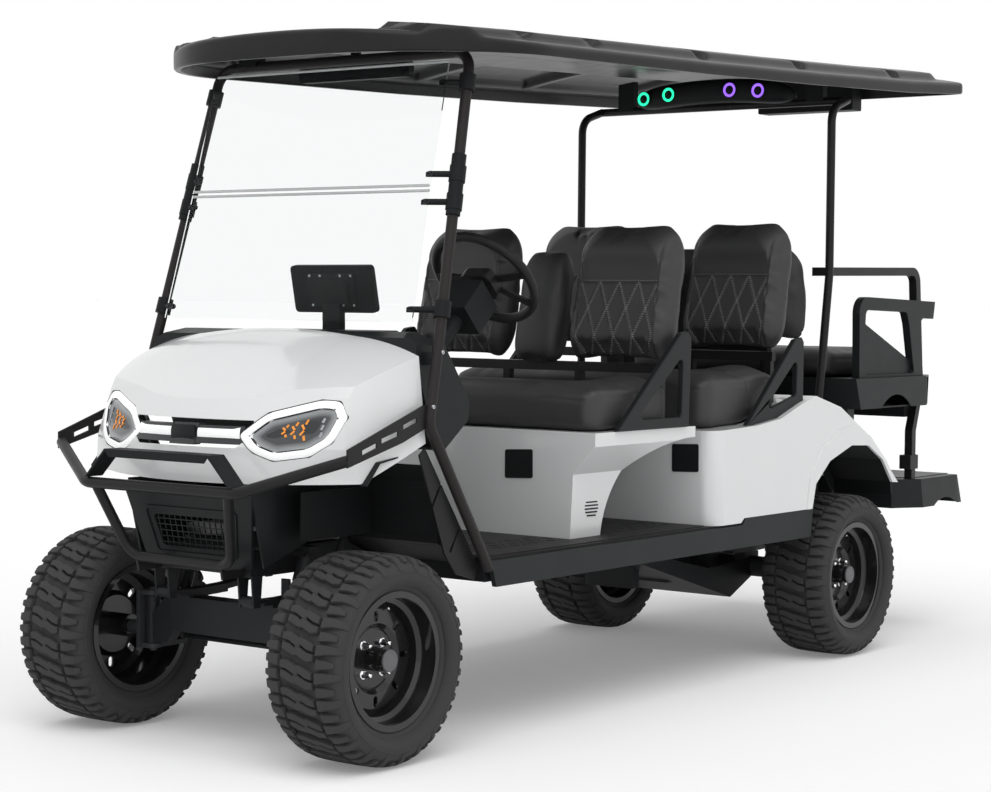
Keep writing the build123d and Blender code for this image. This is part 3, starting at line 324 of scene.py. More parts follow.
class EffectLibrary:
    """Builds each shared shader group once."""

    def __init__(self) -> None:
        """Start with no groups."""
        self.built: dict[Effect, Tree] = {}

    def place(self, tree: Tree, effect: Effect, label: str, value: float) -> Node:
        """Put one effect's group in a material, building the group the first time.

        Args:
            tree: the material's nodes.
            effect: which effect.
            label: the input to set.
            value: that input's value.

        Returns:
            The group's node.
        """
        if effect not in self.built:
            maker = getattr(self, "_" + effect.value)
            self.built[effect] = maker()
        node = tree.nodes.new("ShaderNodeGroup")
        node.node_tree = self.built[effect]
        node.inputs[label].default_value = value
        return node

    @staticmethod
    def _new(name: str, inputs: Sequence[tuple[str, float]], outputs: Sequence[str]) -> tuple[Tree, Node, Node]:
        """Make an empty group with float sockets.

        Args:
            name: the group's name.
            inputs: (name, default) of each input.
            outputs: name of each output.

        Returns:
            The tree, its input node and its output node.
        """
        tree = bpy.data.node_groups.new(name, "ShaderNodeTree")
        for label, default in inputs:
            socket = tree.interface.new_socket(label, in_out="INPUT", socket_type="NodeSocketFloat")
            socket.default_value = default
        for label in outputs:
            tree.interface.new_socket(label, in_out="OUTPUT", socket_type="NodeSocketFloat")
        return tree, tree.nodes.new("NodeGroupInput"), tree.nodes.new("NodeGroupOutput")

    @staticmethod
    def _texture(tree: Tree, kind: str, scale: Socket | float) -> Node:
        """Add a texture node on object coordinates, which are metres in the frame."""
        node = tree.nodes.new(kind)
        tree.links.new(tree.nodes.new("ShaderNodeTexCoord").outputs["Object"], node.inputs["Vector"])
        feed(tree, node.inputs["Scale"], scale)
        return node

    def _noise(self, tree: Tree, scale: Socket | float, detail: float
               ) -> Socket:
        """Add a noise texture and return its value."""
        node = self._texture(tree, "ShaderNodeTexNoise", scale)
        node.inputs["Detail"].default_value = detail
        return node.outputs["Fac"]

    def _voronoi(self, tree: Tree, scale: Socket | float, feature: str
                 ) -> Socket:
        """Add a Voronoi texture and return its distance."""
        node = self._texture(tree, "ShaderNodeTexVoronoi", scale)
        node.feature = feature
        return node.outputs["Distance"]

    def _mould_grain(self) -> Tree:
        """Pebbled grain of moulded plastic, with a slow change of shade."""
        tree, start, end = self._new("mould_grain", [("Scale", 900.0)], ["Height", "Shade"])
        cells = self._voronoi(tree, start.outputs["Scale"], "SMOOTH_F1")
        tree.links.new(cells, end.inputs["Height"])
        tree.links.new(self._noise(tree, 6.0, 4.0), end.inputs["Shade"])
        return tree

    def _vinyl_grain(self) -> Tree:
        """Leather-like print of seat vinyl: creased cells with soft pores."""
        tree, start, end = self._new("vinyl_grain", [("Scale", 420.0)], ["Height", "Shade"])
        edges = self._voronoi(tree, start.outputs["Scale"], "DISTANCE_TO_EDGE")
        fine = self._noise(tree, 900.0, 3.0)
        steep = math_node(tree, "MINIMUM", math_node(tree, "MULTIPLY", edges, 3.0), 1.0)
        creases = math_node(tree, "POWER", steep, 0.5)
        both = math_node(tree, "ADD", creases, math_node(tree, "MULTIPLY", fine, 0.35))
        tree.links.new(both, end.inputs["Height"])
        tree.links.new(self._noise(tree, 9.0, 5.0), end.inputs["Shade"])
        return tree

    def _orange_peel(self) -> Tree:
        """Soft ripple of sprayed or powder-coated paint."""
        tree, start, end = self._new("orange_peel", [("Scale", 260.0)], ["Height", "Shade"])
        tree.links.new(self._noise(tree, start.outputs["Scale"], 2.0), end.inputs["Height"])
        tree.links.new(self._noise(tree, 3.5, 3.0), end.inputs["Shade"])
        return tree

    def _handling(self) -> Tree:
        """Slow patches where hands and cloths have changed the gloss."""
        tree, start, end = self._new("handling", [("Scale", 14.0), ("Amount", 0.1)], ["Rough"])
        patches = math_node(tree, "SUBTRACT", self._noise(tree, start.outputs["Scale"], 6.0), 0.5)
        tree.links.new(math_node(tree, "MULTIPLY", patches, start.outputs["Amount"]), end.inputs["Rough"])
        return tree


EFFECTS = EffectLibrary()


# ---- finishes
@dataclass(frozen=True)
class Finish:
    """One surface finish, made into a material the first time it is asked for.

    Attributes:
        name: material name.
        colour: base colour, linear.
        second: colour that the slow shade drifts to.
        roughness: mean roughness.
        metallic: 0 or 1.
        coat: clear coat weight.
        grain: the shared effect that makes its texture.
        grain_scale: how fine the texture is.
        grain_depth: height of the texture in millimetres.
        handling: how much the gloss wanders.
        glow: colour of its own light.
        glow_strength: strength of that light.
        specular: specular level.
        sheen: sheen weight.
    """

    name: str
    colour: Triple
    second: Triple
    roughness: float
    metallic: float = 0.0
    coat: float = 0.0
    grain: Effect = Effect.MOULD_GRAIN
    grain_scale: float = 900.0
    grain_depth: float = 0.05
    handling: float = 0.12
    glow: Triple | None = None
    glow_strength: float = 0.0
    specular: float = 0.5
    sheen: float = 0.0

    def material(self) -> Material:
        """Return the material of this name, building it with its drift and relief if there is none yet.

        The frame brings a plain seat_vinyl and tyre_rubber of its own, so seats and tyres wear those.
        """
        found = bpy.data.materials.get(self.name)
        if found:
            return found
        material, tree, shader = new_material(self.name)
        set_inputs(shader, {"Metallic": self.metallic, "Coat Weight": self.coat, "Coat Roughness": 0.05,
                            "Specular IOR Level": self.specular, "Sheen Weight": self.sheen})
        grain = EFFECTS.place(tree, self.grain, "Scale", self.grain_scale)
        mix = tree.nodes.new("ShaderNodeMix")
        mix.data_type = "RGBA"
        set_inputs(mix, {"A": (*self.colour, 1.0), "B": (*self.second, 1.0)})
        tree.links.new(grain.outputs["Shade"], mix.inputs["Factor"])
        tree.links.new(mix.outputs["Result"], shader.inputs["Base Color"])
        gloss = EFFECTS.place(tree, Effect.HANDLING, "Amount", self.handling)
        total = math_node(tree, "ADD", gloss.outputs["Rough"], self.roughness)
        total.node.use_clamp = True
        tree.links.new(total, shader.inputs["Roughness"])
        bump = tree.nodes.new("ShaderNodeBump")
        bump.inputs["Distance"].default_value = self.grain_depth * MM
        tree.links.new(grain.outputs["Height"], bump.inputs["Height"])
        tree.links.new(bump.outputs["Normal"], shader.inputs["Normal"])
        if self.glow:
            set_inputs(shader, {"Emission Color": (*self.glow, 1.0), "Emission Strength": self.glow_strength})
        return material


@dataclass(frozen=True)
class ClearPane:
    """Clear sheet or lens.

    Attributes:
        name: material name.
        tint: colour of what passes through.
        roughness: surface roughness.
    """

    name: str
    tint: Triple
    roughness: float = 0.02

    @cache
    def material(self) -> Material:
        """Return the thin clear material, building it once."""
        material, _, shader = new_material(self.name)
        set_inputs(shader, {"Base Color": (*self.tint, 1.0), "Roughness": self.roughness, "IOR": 1.12,
                            "Transmission Weight": 1.0})
        return material


class Finishes:
    """Every finish of the cart, by the part that wears it."""

    GLOSS_WHITE = Finish("gloss_white_body", (0.78, 0.79, 0.80), (0.81, 0.815, 0.82), 0.22, coat=0.6,
                         grain=Effect.ORANGE_PEEL, grain_scale=240.0, grain_depth=0.02, handling=0.05)
    TRIM = Finish("moulded_trim", (0.013, 0.014, 0.015), (0.019, 0.021, 0.022), 0.4, grain_depth=0.08,
                  specular=0.15)
    TRIM_DARK = Finish("deep_black_trim", (0.010, 0.011, 0.012), (0.016, 0.017, 0.018), 0.5, grain_depth=0.06,
                       specular=0.12)
    ROOF = Finish("roof_shell", (0.012, 0.012, 0.013), (0.020, 0.020, 0.021), 0.34, grain_scale=700.0,
                  grain_depth=0.06, handling=0.1, specular=0.18)
    POWDER = Finish("powder_coat_black", (0.012, 0.012, 0.013), (0.018, 0.018, 0.019), 0.36,
                    grain=Effect.ORANGE_PEEL, grain_scale=700.0, specular=0.18)
    CHASSIS = Finish("chassis_paint", (0.016, 0.017, 0.019), (0.026, 0.027, 0.029), 0.42,
                     grain=Effect.ORANGE_PEEL, grain_scale=420.0, grain_depth=0.06, specular=0.15)
    WHEEL = Finish("wheel_gloss_black", (0.010, 0.010, 0.011), (0.014, 0.014, 0.015), 0.2, coat=0.5,
                   grain=Effect.ORANGE_PEEL, grain_scale=500.0, grain_depth=0.02, handling=0.08,
                   specular=0.24)
    RUBBER = Finish("tyre_rubber", (0.009, 0.010, 0.011), (0.018, 0.020, 0.021), 0.46, grain_scale=1100.0,
                    grain_depth=0.1, handling=0.16, specular=0.12)
    EXTRUSION = Finish("hoop_extrusion", (0.020, 0.018, 0.018), (0.030, 0.027, 0.026), 0.42, grain_depth=0.03,
                       specular=0.15)
    SILL = Finish("sill_plastic", (0.022, 0.025, 0.026), (0.030, 0.033, 0.034), 0.5, grain_depth=0.08,
                  specular=0.13)
    MAT = Finish("floor_mat_rubber", (0.012, 0.012, 0.012), (0.020, 0.020, 0.020), 0.5, grain_depth=0.12,
                 specular=0.15)
    GRIP = Finish("steering_grip", (0.012, 0.012, 0.012), (0.02, 0.02, 0.02), 0.42, grain=Effect.VINYL_GRAIN,
                  grain_scale=700.0, grain_depth=0.1, specular=0.18)
    VINYL = Finish("seat_vinyl", (0.010, 0.010, 0.010), (0.016, 0.016, 0.016), 0.36, grain=Effect.VINYL_GRAIN,
                   grain_scale=420.0, grain_depth=0.1, handling=0.14, sheen=0.05, specular=0.21)
    THREAD = Finish("stitch_thread", (0.42, 0.42, 0.42), (0.55, 0.55, 0.55), 0.7)
    CHROME = Finish("bright_plating", (0.8, 0.8, 0.82), (0.86, 0.86, 0.88), 0.12, metallic=1.0,
                    grain=Effect.ORANGE_PEEL, grain_depth=0.01)
    CHROME_DARK = Finish("smoked_reflector", (0.30, 0.31, 0.33), (0.36, 0.37, 0.39), 0.25, metallic=1.0,
                         grain=Effect.ORANGE_PEEL, grain_depth=0.01)
    STRIP = Finish("pale_edge_strip", (0.55, 0.57, 0.57), (0.62, 0.64, 0.64), 0.3, grain_depth=0.02)
    ZINC = Finish("zinc_hardware", (0.45, 0.46, 0.48), (0.55, 0.56, 0.58), 0.35, metallic=1.0,
                  grain=Effect.ORANGE_PEEL, grain_depth=0.02)
    HUB_GREY = Finish("hub_cap_grey", (0.10, 0.10, 0.11), (0.14, 0.14, 0.15), 0.4, grain_depth=0.04)
    CASTING = Finish("cast_housing", (0.035, 0.037, 0.04), (0.06, 0.062, 0.065), 0.55,
                     grain=Effect.ORANGE_PEEL, grain_scale=300.0, grain_depth=0.25, specular=0.15)
    LAMP_BLACK = Finish("lamp_housing", (0.016, 0.018, 0.020), (0.03, 0.033, 0.036), 0.25,
                        grain=Effect.ORANGE_PEEL, grain_depth=0.02)
    LIGHT_PIPE = Finish("daylight_pipe", (0.72, 0.73, 0.73), (0.78, 0.79, 0.79), 0.3, grain_depth=0.01,
                        glow=(1.0, 1.0, 1.0), glow_strength=0.4)
    AMBER = Finish("amber_element", (0.75, 0.22, 0.02), (0.85, 0.32, 0.04), 0.3, grain_depth=0.02,
                   glow=(1.0, 0.35, 0.03), glow_strength=0.25)
    GLOW_GREEN = Finish("ring_light_green", (0.02, 0.6, 0.35), (0.02, 0.7, 0.4), 0.3, grain_depth=0.01,
                        glow=(0.02, 1.0, 0.45), glow_strength=1.3)
    GLOW_PURPLE = Finish("ring_light_purple", (0.25, 0.1, 0.8), (0.3, 0.12, 0.85), 0.3, grain_depth=0.01,
                         glow=(0.3, 0.12, 1.0), glow_strength=1.3)
    PANE = ClearPane("windshield_sheet", (0.93, 0.95, 0.95))


# ---- finish of every carried-over node
NODE_FINISH: dict[str, Finish | ClearPane] = {name: finish for finish, names in (
    (Finishes.GLOSS_WHITE, "front_cowl front_seat_pod rear_body"),
    (Finishes.TRIM, "dashboard footrest front_fascia hip_restraints pedals rear_armrests rear_deck"),
    (Finishes.TRIM_DARK, "bumper_plate display_tablet hoop_and_roof_clamps rear_view_mirror roof_console "
                         "speaker_bar steering_column wheel_liners"),
    (Finishes.ROOF, "roof"),
    (Finishes.POWDER, "brush_guard footrest_struts rear_grab_rails rear_roof_struts seat_frames"),
    (Finishes.CHASSIS, "engine_cradle frame frame_cross_tubes front_axle front_suspension rear_suspension "
                       "steering_links"),
    (Finishes.CASTING, "engine knuckle_left knuckle_right pitman_arm rear_axle"),
    (Finishes.WHEEL, "rim_front_left rim_front_right rim_rear_left rim_rear_right"),
    (Finishes.RUBBER, "tyre_front_left tyre_front_right tyre_rear_left tyre_rear_right"),
    (Finishes.EXTRUSION, "front_hoop"),
    (Finishes.SILL, "sill_trim"),
    (Finishes.MAT, "floor_pan"),
    (Finishes.GRIP, "steering_wheel"),
    (Finishes.LAMP_BLACK, "headlamps"),
    (Finishes.VINYL, "front_seat_cushion middle_seat_cushion rear_seat_back rear_seat_cushion seat_backs"),
    (Finishes.PANE, "windshield_lower windshield_upper"),
) for name in names.split()}

# Width of the small round on each node's edges, in millimetres.
EDGE_ROUND: dict[str, float] = {name: width for width, names in (
    (9.0, "front_seat_pod rear_body"),
    (7.0, "dashboard"),
    (6.0, "roof_console speaker_bar"),
    (5.0, "footrest rear_armrests"),
    (4.0, "hip_restraints rear_deck roof"),
    (3.0, "display_tablet front_axle rear_grab_rails rear_view_mirror sill_trim steering_column"),
    (2.0, "engine_cradle footrest_struts frame front_fascia"),
    (1.5, "bumper_plate front_hoop"),
) for name in names.split()}


class NodeDresser:
    """Gives each carried-over node its finish and a small round on its edges."""

    def __init__(self, nodes: dict[str, Piece]) -> None:
        """Keep the frame's nodes."""
        self.nodes = nodes

    def dress(self, name: str) -> None:
        """Set one node's finish.

        Args:
            name: the node.
        """
        node = self.nodes[name]
        finish = NODE_FINISH[name].material()
        if not node.material_slots:
            node.data.materials.append(finish)
        for slot in node.material_slots:
            slot.material = finish
        if name in EDGE_ROUND:
            weld = node.modifiers.new("weld_seams", "WELD")
            weld.merge_threshold = 0.02 * MM
            edge = node.modifiers.new("edge_round", "BEVEL")
            edge.width = EDGE_ROUND[name] * MM
            edge.segments = 3
            edge.limit_method = "ANGLE"
            edge.angle_limit = math.radians(40.0)
            edge.harden_normals = True
        log.info("node %s wears %s", name, finish.name)

    def dress_all(self) -> None:
        """Set every node's finish."""
        for name in sorted(self.nodes):
            self.dress(name)


# ---- studio
@dataclass
class Studio:
    """Plain pale floor, soft light and the camera.

    Attributes:
        camera_place: the camera's place in metres.
        azimuth: its direction round the cart, in degrees.
        elevation: its height above the horizon, in degrees.
        roll: its tilt, in degrees.
        lens: its focal length on a 36 mm frame.
        floor_half: half width of the floor, in metres.
        floor_colour: the floor's colour.
        floor_lift: how much the floor is brightened where it is seen.
        sky_level: how much the surround lights.
        key_level: strength of the key light.
        fill_level: strength of the fill light.
    """

    camera_place: Triple = (4.48613, -6.29000, 1.28161)
    azimuth: float = 37.2565
    elevation: float = 2.4783
    roll: float = 0.5267
    lens: float = 81.476
    floor_half: float = 400.0
    floor_colour: Triple = (0.93, 0.93, 0.93)
    floor_lift: float = 0.17
    sky_level: float = 0.48
    key_level: float = 1.25
    fill_level: float = 0.4

    def camera(self) -> None:
        """Set up the camera."""
        a, e, r = (math.radians(v) for v in (self.azimuth, self.elevation, self.roll))
        back = Vector((math.sin(a) * math.cos(e), -math.cos(a) * math.cos(e), math.sin(e)))
        right = Vector((math.cos(a), math.sin(a), 0.0))
        up = back.cross(right)
        turned_right = right * math.cos(r) + up * math.sin(r)
        turned_up = up * math.cos(r) - right * math.sin(r)
        turn = Matrix((turned_right, turned_up, back)).transposed().to_4x4()
        data = bpy.data.cameras.new("studio_camera")
        data.sensor_width = 36.0
        data.lens = self.lens
        data.clip_end = 1500.0
        camera = link_object("studio_camera", data)
        camera.matrix_world = Matrix.Translation(self.camera_place) @ turn
        bpy.context.scene.camera = camera

    @staticmethod
    def _seen(tree: Tree) -> Socket:
        """Return 1 on rays that show the backdrop: camera, glossy and transmission rays."""
        path = tree.nodes.new("ShaderNodeLightPath")
        total = path.outputs["Is Camera Ray"]
        for label in ("Is Glossy Ray", "Is Transmission Ray"):
            total = math_node(tree, "MAXIMUM", total, path.outputs[label])
        return total

    def floor(self) -> None:
        """Lay the floor, whose lift to white shows only on seen rays."""
        build = MeshBuilder()
        half = self.floor_half * 1000.0
        build.face(build.add((x * half, y * half, 0) for x, y in SQUARE))
        material, tree, shader = new_material("studio_floor")
        tree.nodes.remove(shader)
        paint = tree.nodes.new("ShaderNodeBsdfDiffuse")
        paint.inputs["Color"].default_value = (*self.floor_colour, 1.0)
        lift = tree.nodes.new("ShaderNodeEmission")
        level = math_node(tree, "MULTIPLY", self._seen(tree), self.floor_lift)
        tree.links.new(level, lift.inputs["Strength"])
        both = tree.nodes.new("ShaderNodeAddShader")
        tree.links.new(paint.outputs[0], both.inputs[0])
        tree.links.new(lift.outputs[0], both.inputs[1])
        tree.links.new(both.outputs[0], tree.nodes["Material Output"].inputs["Surface"])
        build.build("studio_floor", [material])

    def world(self) -> None:
        """Make the even surround: white where it is seen, a plain level where it lights."""
        world = bpy.data.worlds.new("studio_world")
        world.use_nodes = True
        tree = world.node_tree
        surround = tree.nodes["Background"]
        surround.inputs["Color"].default_value = (1.0, 1.0, 1.0, 1.0)
        level = tree.nodes.new("ShaderNodeMapRange")
        set_inputs(level, {"To Min": self.sky_level, "To Max": 1.0})
        tree.links.new(self._seen(tree), level.inputs["Value"])
        tree.links.new(level.outputs["Result"], surround.inputs["Strength"])
        bpy.context.scene.world = world

    def _sun(self, name: str, strength: float, spread: float, heading: Point) -> None:
        """Add one broad, distant lamp.

        Args:
            name: the lamp's name.
            strength: its strength.
            spread: its apparent width in degrees, which softens the shadows.
            heading: direction that its light travels.
        """
        data = bpy.data.lights.new(name, "SUN")
        data.energy = strength
        data.angle = math.radians(spread)
        lamp = link_object(name, data)
        lamp.rotation_mode = "QUATERNION"
        lamp.rotation_quaternion = Vector(heading).to_track_quat("-Z", "Y")

    def build(self) -> None:
        """Build the whole studio."""
        bpy.context.scene.view_settings.view_transform = "Standard"
        self.camera()
        self.floor()
        self.world()
        self._sun("key_light", self.key_level, 55.0, (-0.25, 0.35, -1.0))
        self._sun("fill_light", self.fill_level, 70.0, (-0.8, 0.5, -0.55))
        log.info("studio ready")


# ---- padded seats
CLOTH_STEPS = 20
CLOTH_PRESSURE = 4.0


def settle_pad(piece: Piece, voxel: float, swell: float, low: Point, high: Point) -> None:
    """Remesh a pad, swell it as filled cloth, and keep it in its own space.

    Args:
        piece: the pad's starting form.
        voxel: size of the new mesh's cells in millimetres.
        swell: farthest that a point may move, in millimetres.
        low: lowest corner of its space, in millimetres from the front axle.
        high: highest corner of its space.
    """
    def apply() -> None:
        """Write the modifiers' result into the mesh."""
        graph = bpy.context.evaluated_depsgraph_get()
        mesh = bpy.data.meshes.new_from_object(piece.evaluated_get(graph))
        piece.modifiers.clear()
        old, piece.data = piece.data, mesh
        bpy.data.meshes.remove(old)

    remesh = piece.modifiers.new("even_cells", "REMESH")
    remesh.mode = "VOXEL"
    remesh.voxel_size = voxel * MM
    soft = piece.modifiers.new("soft_corners", "SMOOTH")
    soft.factor, soft.iterations = 0.5, 10
    apply()
    count = len(piece.data.vertices)
    start = np.empty(count * 3)
    piece.data.vertices.foreach_get("co", start)
    start = start.reshape(-1, 3)
    cloth = piece.modifiers.new("filling", "CLOTH")
    cloth.settings.quality = 4
    cloth.settings.use_pressure = True
    cloth.settings.uniform_pressure_force = CLOTH_PRESSURE
    cloth.settings.effector_weights.gravity = 0.0
    cloth.point_cache.frame_start, cloth.point_cache.frame_end = 1, CLOTH_STEPS
    for number in range(1, CLOTH_STEPS + 1):
        bpy.context.scene.frame_set(number)
    apply()
    bpy.context.scene.frame_set(1)
    end = np.empty(count * 3)
    piece.data.vertices.foreach_get("co", end)
    move = end.reshape(-1, 3) - start
    length = np.maximum(np.linalg.norm(move, axis=1, keepdims=True), 1e-9)
    end = start + move * np.minimum(1.0, swell * MM / length)
    end = np.clip(end, np.array(at(*low)), np.array(at(*high)))
    piece.data.vertices.foreach_set("co", end.ravel())
    fine = piece.modifiers.new("fine", "SUBSURF")
    fine.levels = fine.render_levels = 1
    apply()
    piece.data.materials.clear()
    piece.data.shade_smooth()


def finish_pad(pad: Piece, depth_at: Callable[[Vector], float], body: str,
               replaced: Sequence[str] = ()) -> None:
    """Args:
        pad: the settled pad.
        depth_at: depth in millimetres for a place in millimetres from the front axle.
        body: the body that carries it.
        replaced: rigid nodes that it stands for.
    """
    mesh = pad.data
    normals = [v.normal.copy() for v in mesh.vertices]
    for vertex, normal in zip(mesh.vertices, normals):
        depth = depth_at(back(vertex.co))
        if depth:
            vertex.co -= normal * (depth * MM)
    mesh.update()
    mesh.materials.append(Finishes.VINYL.material())
    place(pad, body, "seat_vinyl", replaced)


class StitchRow:
    """Thread along lines on a settled pad, in stitches of even length and pitch."""

    LENGTH = 5.0
    PITCH = 8.2
    THICK = 0.75
    PROUD = 0.4

    def __init__(self, pad: Piece, toward: Point) -> None:
        """Keep the surface and the direction that looks at it.

        Args:
            pad: the settled pad.
            toward: direction that meets the stitched face from outside.
        """
        mesh = pad.data
        self.tree = BVHTree.FromPolygons([v.co for v in mesh.vertices], [p.vertices for p in mesh.polygons])
        self.toward = Vector(toward).normalized()
        self.build = MeshBuilder()

    def on_face(self, spot: Point) -> tuple[Vector, Vector] | None:
        """Return the surface point and normal that a place looks at, in millimetres."""
        hit, normal, _, _ = self.tree.ray_cast(at(*spot) - self.toward * 0.4, self.toward)
        return None if hit is None else (back(hit), normal)

    def run(self, start: Point, end: Point) -> None:
        """Sew one straight run of stitches.

        Args:
            start: where the run starts.
            end: where it ends.
        """
        a, b = Vector(start), Vector(end)
        total = (b - a).length
        for i in range(int(total / self.PITCH)):
            along = (i + 0.15) * self.PITCH
            low, high = a.lerp(b, along / total), a.lerp(b, (along + self.LENGTH) / total)
            first, last = self.on_face(low), self.on_face(high)
            if not first or not last:
                continue
            p, q = (spot + normal * self.PROUD for spot, normal in (first, last))
            across = (q - p).cross(first[1]).normalized() * self.THICK
            rise = first[1] * self.THICK
            middle = (p + q) / 2 + rise * 0.8
            rows = []
            for spot, size in ((p - rise, 0.5), (middle, 1.0), (q - rise, 0.5)):
                rows.append([spot + across * size, spot + rise * size, spot - across * size, spot - rise])
            self.build.ring_loft(rows)

    def finish(self, name: str, body: str) -> Piece:
        """Make the thread's object and let it ride on a body."""
        return place(self.build.build(name, [Finishes.THREAD.material()], 60.0), body, "seat_vinyl")


@dataclass
class SeatBack:
    """One leaning back pad: smooth upper part, side bolsters and a quilted centre.

    Attributes:
        name: the piece's name.
        x0: its right side.
        x1: its left side.
        top: height of its top.
        quilted: has bolsters and quilting.
        bottom: height of its bottom.
        quilt_top: share of the height that is quilted.
        quilt_half: share of the half width that is quilted.
        diamond: width and height of a quilt diamond.
        bolster: how far the bolsters stand out.
    """

    name: str
    x0: float
    x1: float
    top: float
    quilted: bool = True
    bottom: float = 1075.0
    quilt_top: float = 0.57
    quilt_half: float = 0.66
    diamond: Pair = (76.0, 176.0)
    bolster: float = 24.0

    HALF_WIDTHS = ((0.0, 0.84), (0.06, 0.93), (0.18, 0.985), (0.4, 1.0), (0.7, 0.985), (0.84, 0.93),
                   (0.93, 0.83), (1.0, 0.66))
    FACES = ((1400, 100), (1530, 76))
    RISE = 470

    @property
    def middle(self) -> float:
        """Middle of its width."""
        return (self.x0 + self.x1) / 2

    @property
    def tall(self) -> float:
        """Height from its bottom to its top."""
        return self.top - self.bottom

    def faces(self, z: float) -> Pair:
        """Return y of the front and rear faces at a height of the front row."""
        front, rear = (y + (z - self.bottom) * lean / self.RISE for y, lean in self.FACES)
        return front, rear

    def half_width(self, share: float) -> float:
        """Return the half width at a share of the height."""
        return float(np.interp(share, *zip(*self.HALF_WIDTHS))) * (self.x1 - self.x0) / 2

    def start_form(self) -> Piece:
        """Return the pad before filling, a little smaller than it ends."""
        build = MeshBuilder()
        rings = []
        inset, steps, layers = 0.5, 28, 24
        for k in range(layers + 1):
            share = k / layers
            z = self.bottom + inset + share * (self.tall - 2 * inset)
            front, rear = self.faces(z)
            centre = (front + rear) / 2
            half = self.half_width(share) - inset
            edge = 1 - 0.45 * (abs(2 * share - 1) ** 6)
            ring = []
            for side, face in ((-1, front), (1, rear)):
                for i in range(steps):
                    t = side * (1 - 2 * i / steps)
                    depth = (abs(face - centre) - inset) * (1 - abs(t) ** 5) ** 0.5 * edge
                    if self.quilted and side < 0:
                        lift = smoothstep(self.quilt_half - 0.05, self.quilt_half + 0.14, abs(t))
                        lower = 1 - smoothstep(0.62, 0.8, share)
                        depth -= self.bolster * (1 - lift) * lower * edge
                        depth -= 8.0 * smoothstep(0.8, 1.0, share)
                    ring.append((self.middle + t * half, centre + side * depth, z))
            rings.append(ring)
        build.ring_loft(rings)
        return build.build(self.name, [])

    def quilt_depth(self, spot: Vector) -> float:
        """Return how deep the surface is pressed at a place of the front row."""
        share = (spot.z - self.bottom) / self.tall
        if not self.quilted or spot.y > sum(self.faces(spot.z)) / 2 + 5:
            return 0.0
        half = (self.x1 - self.x0) / 2
        t = abs(spot.x - self.middle) / half
        depth = 0.0
        limit = self.quilt_top
        if share < limit + 0.02 and t < self.quilt_half + 0.02:
            wide, tall = self.diamond
            u = (spot.x - self.middle) / wide
            v = (self.bottom + limit * self.tall - spot.z) / tall
            gaps = [abs((value + 0.5) % 1.0 - 0.5) for value in (u + v, u - v)]
            near = min(gaps) * wide * tall / math.hypot(wide, tall)
            inside = smoothstep(0.0, 0.02, limit - share) * smoothstep(0.0, 0.03, self.quilt_half - t)
            depth += groove(near, 4.5, 4.5) * inside
        if share < 0.86:
            depth += groove((t - self.quilt_half) * half, 5.0, 4.5) * (1 - smoothstep(0.74, 0.86, share))
        if t < self.quilt_half:
            depth += groove((share - limit) * self.tall, 3.5, 3.5)
        crease = (t - 0.80 - 0.10 * (0.85 - share)) * half
        return depth + (groove(crease, 4.0, 9.0) * smoothstep(0.3, 0.7, share)
                        * (1 - smoothstep(0.8, 0.92, share)))

    def sew(self, pad: Piece) -> Piece:
        """Stitch the quilt's double lines and the seam above it."""
        thread = StitchRow(pad, (0.0, 1.0, 0.0))
        wide, tall = self.diamond
        half = (self.x1 - self.x0) / 2 * self.quilt_half
        left, right = self.middle + half, self.middle - half
        high, low = self.bottom + self.quilt_top * self.tall, self.bottom + 26.0
        for lean in (-1, 1):
            for k in range(-5, 6):
                for offset in (-2.4, 2.4):
                    x = self.middle + k * wide + offset
                    cut = self._clip((x, high), (x + lean * (high - low) / tall * wide, low), right, left)
                    if cut:
                        thread.run(*((x, self.faces(z)[0], z) for x, z in cut))
        y = self.faces(high)[0]
        thread.run((right, y, high + 4), (left, y, high + 4))
        return thread.finish(self.name + "_stitches", "chassis")

    @staticmethod
    def _clip(start: Pair, end: Pair, low: float, high: float
              ) -> list[Pair] | None:
        """Cut a slanted line to a range of x, or return None where it misses."""
        (x0, z0), (x1, z1) = sorted((start, end))
        if x1 <= low + 8 or x0 >= high - 8:
            return None
        shares = max(0.0, (low - x0) / (x1 - x0)), min(1.0, (high - x0) / (x1 - x0))
        return [(x0 + (x1 - x0) * share, z0 + (z1 - z0) * share) for share in shares]

    def build(self) -> tuple[Piece, Piece | None]:
        """Return the settled pad and its thread, for the front row."""
        pad = self.start_form()
        settle_pad(pad, 9.0, 22.0, (self.x0 - 3, 1386, self.bottom - 4), (self.x1 + 3, 1612, self.top + 6))
        finish_pad(pad, self.quilt_depth, "chassis")
        return pad, self.sew(pad) if self.quilted else None


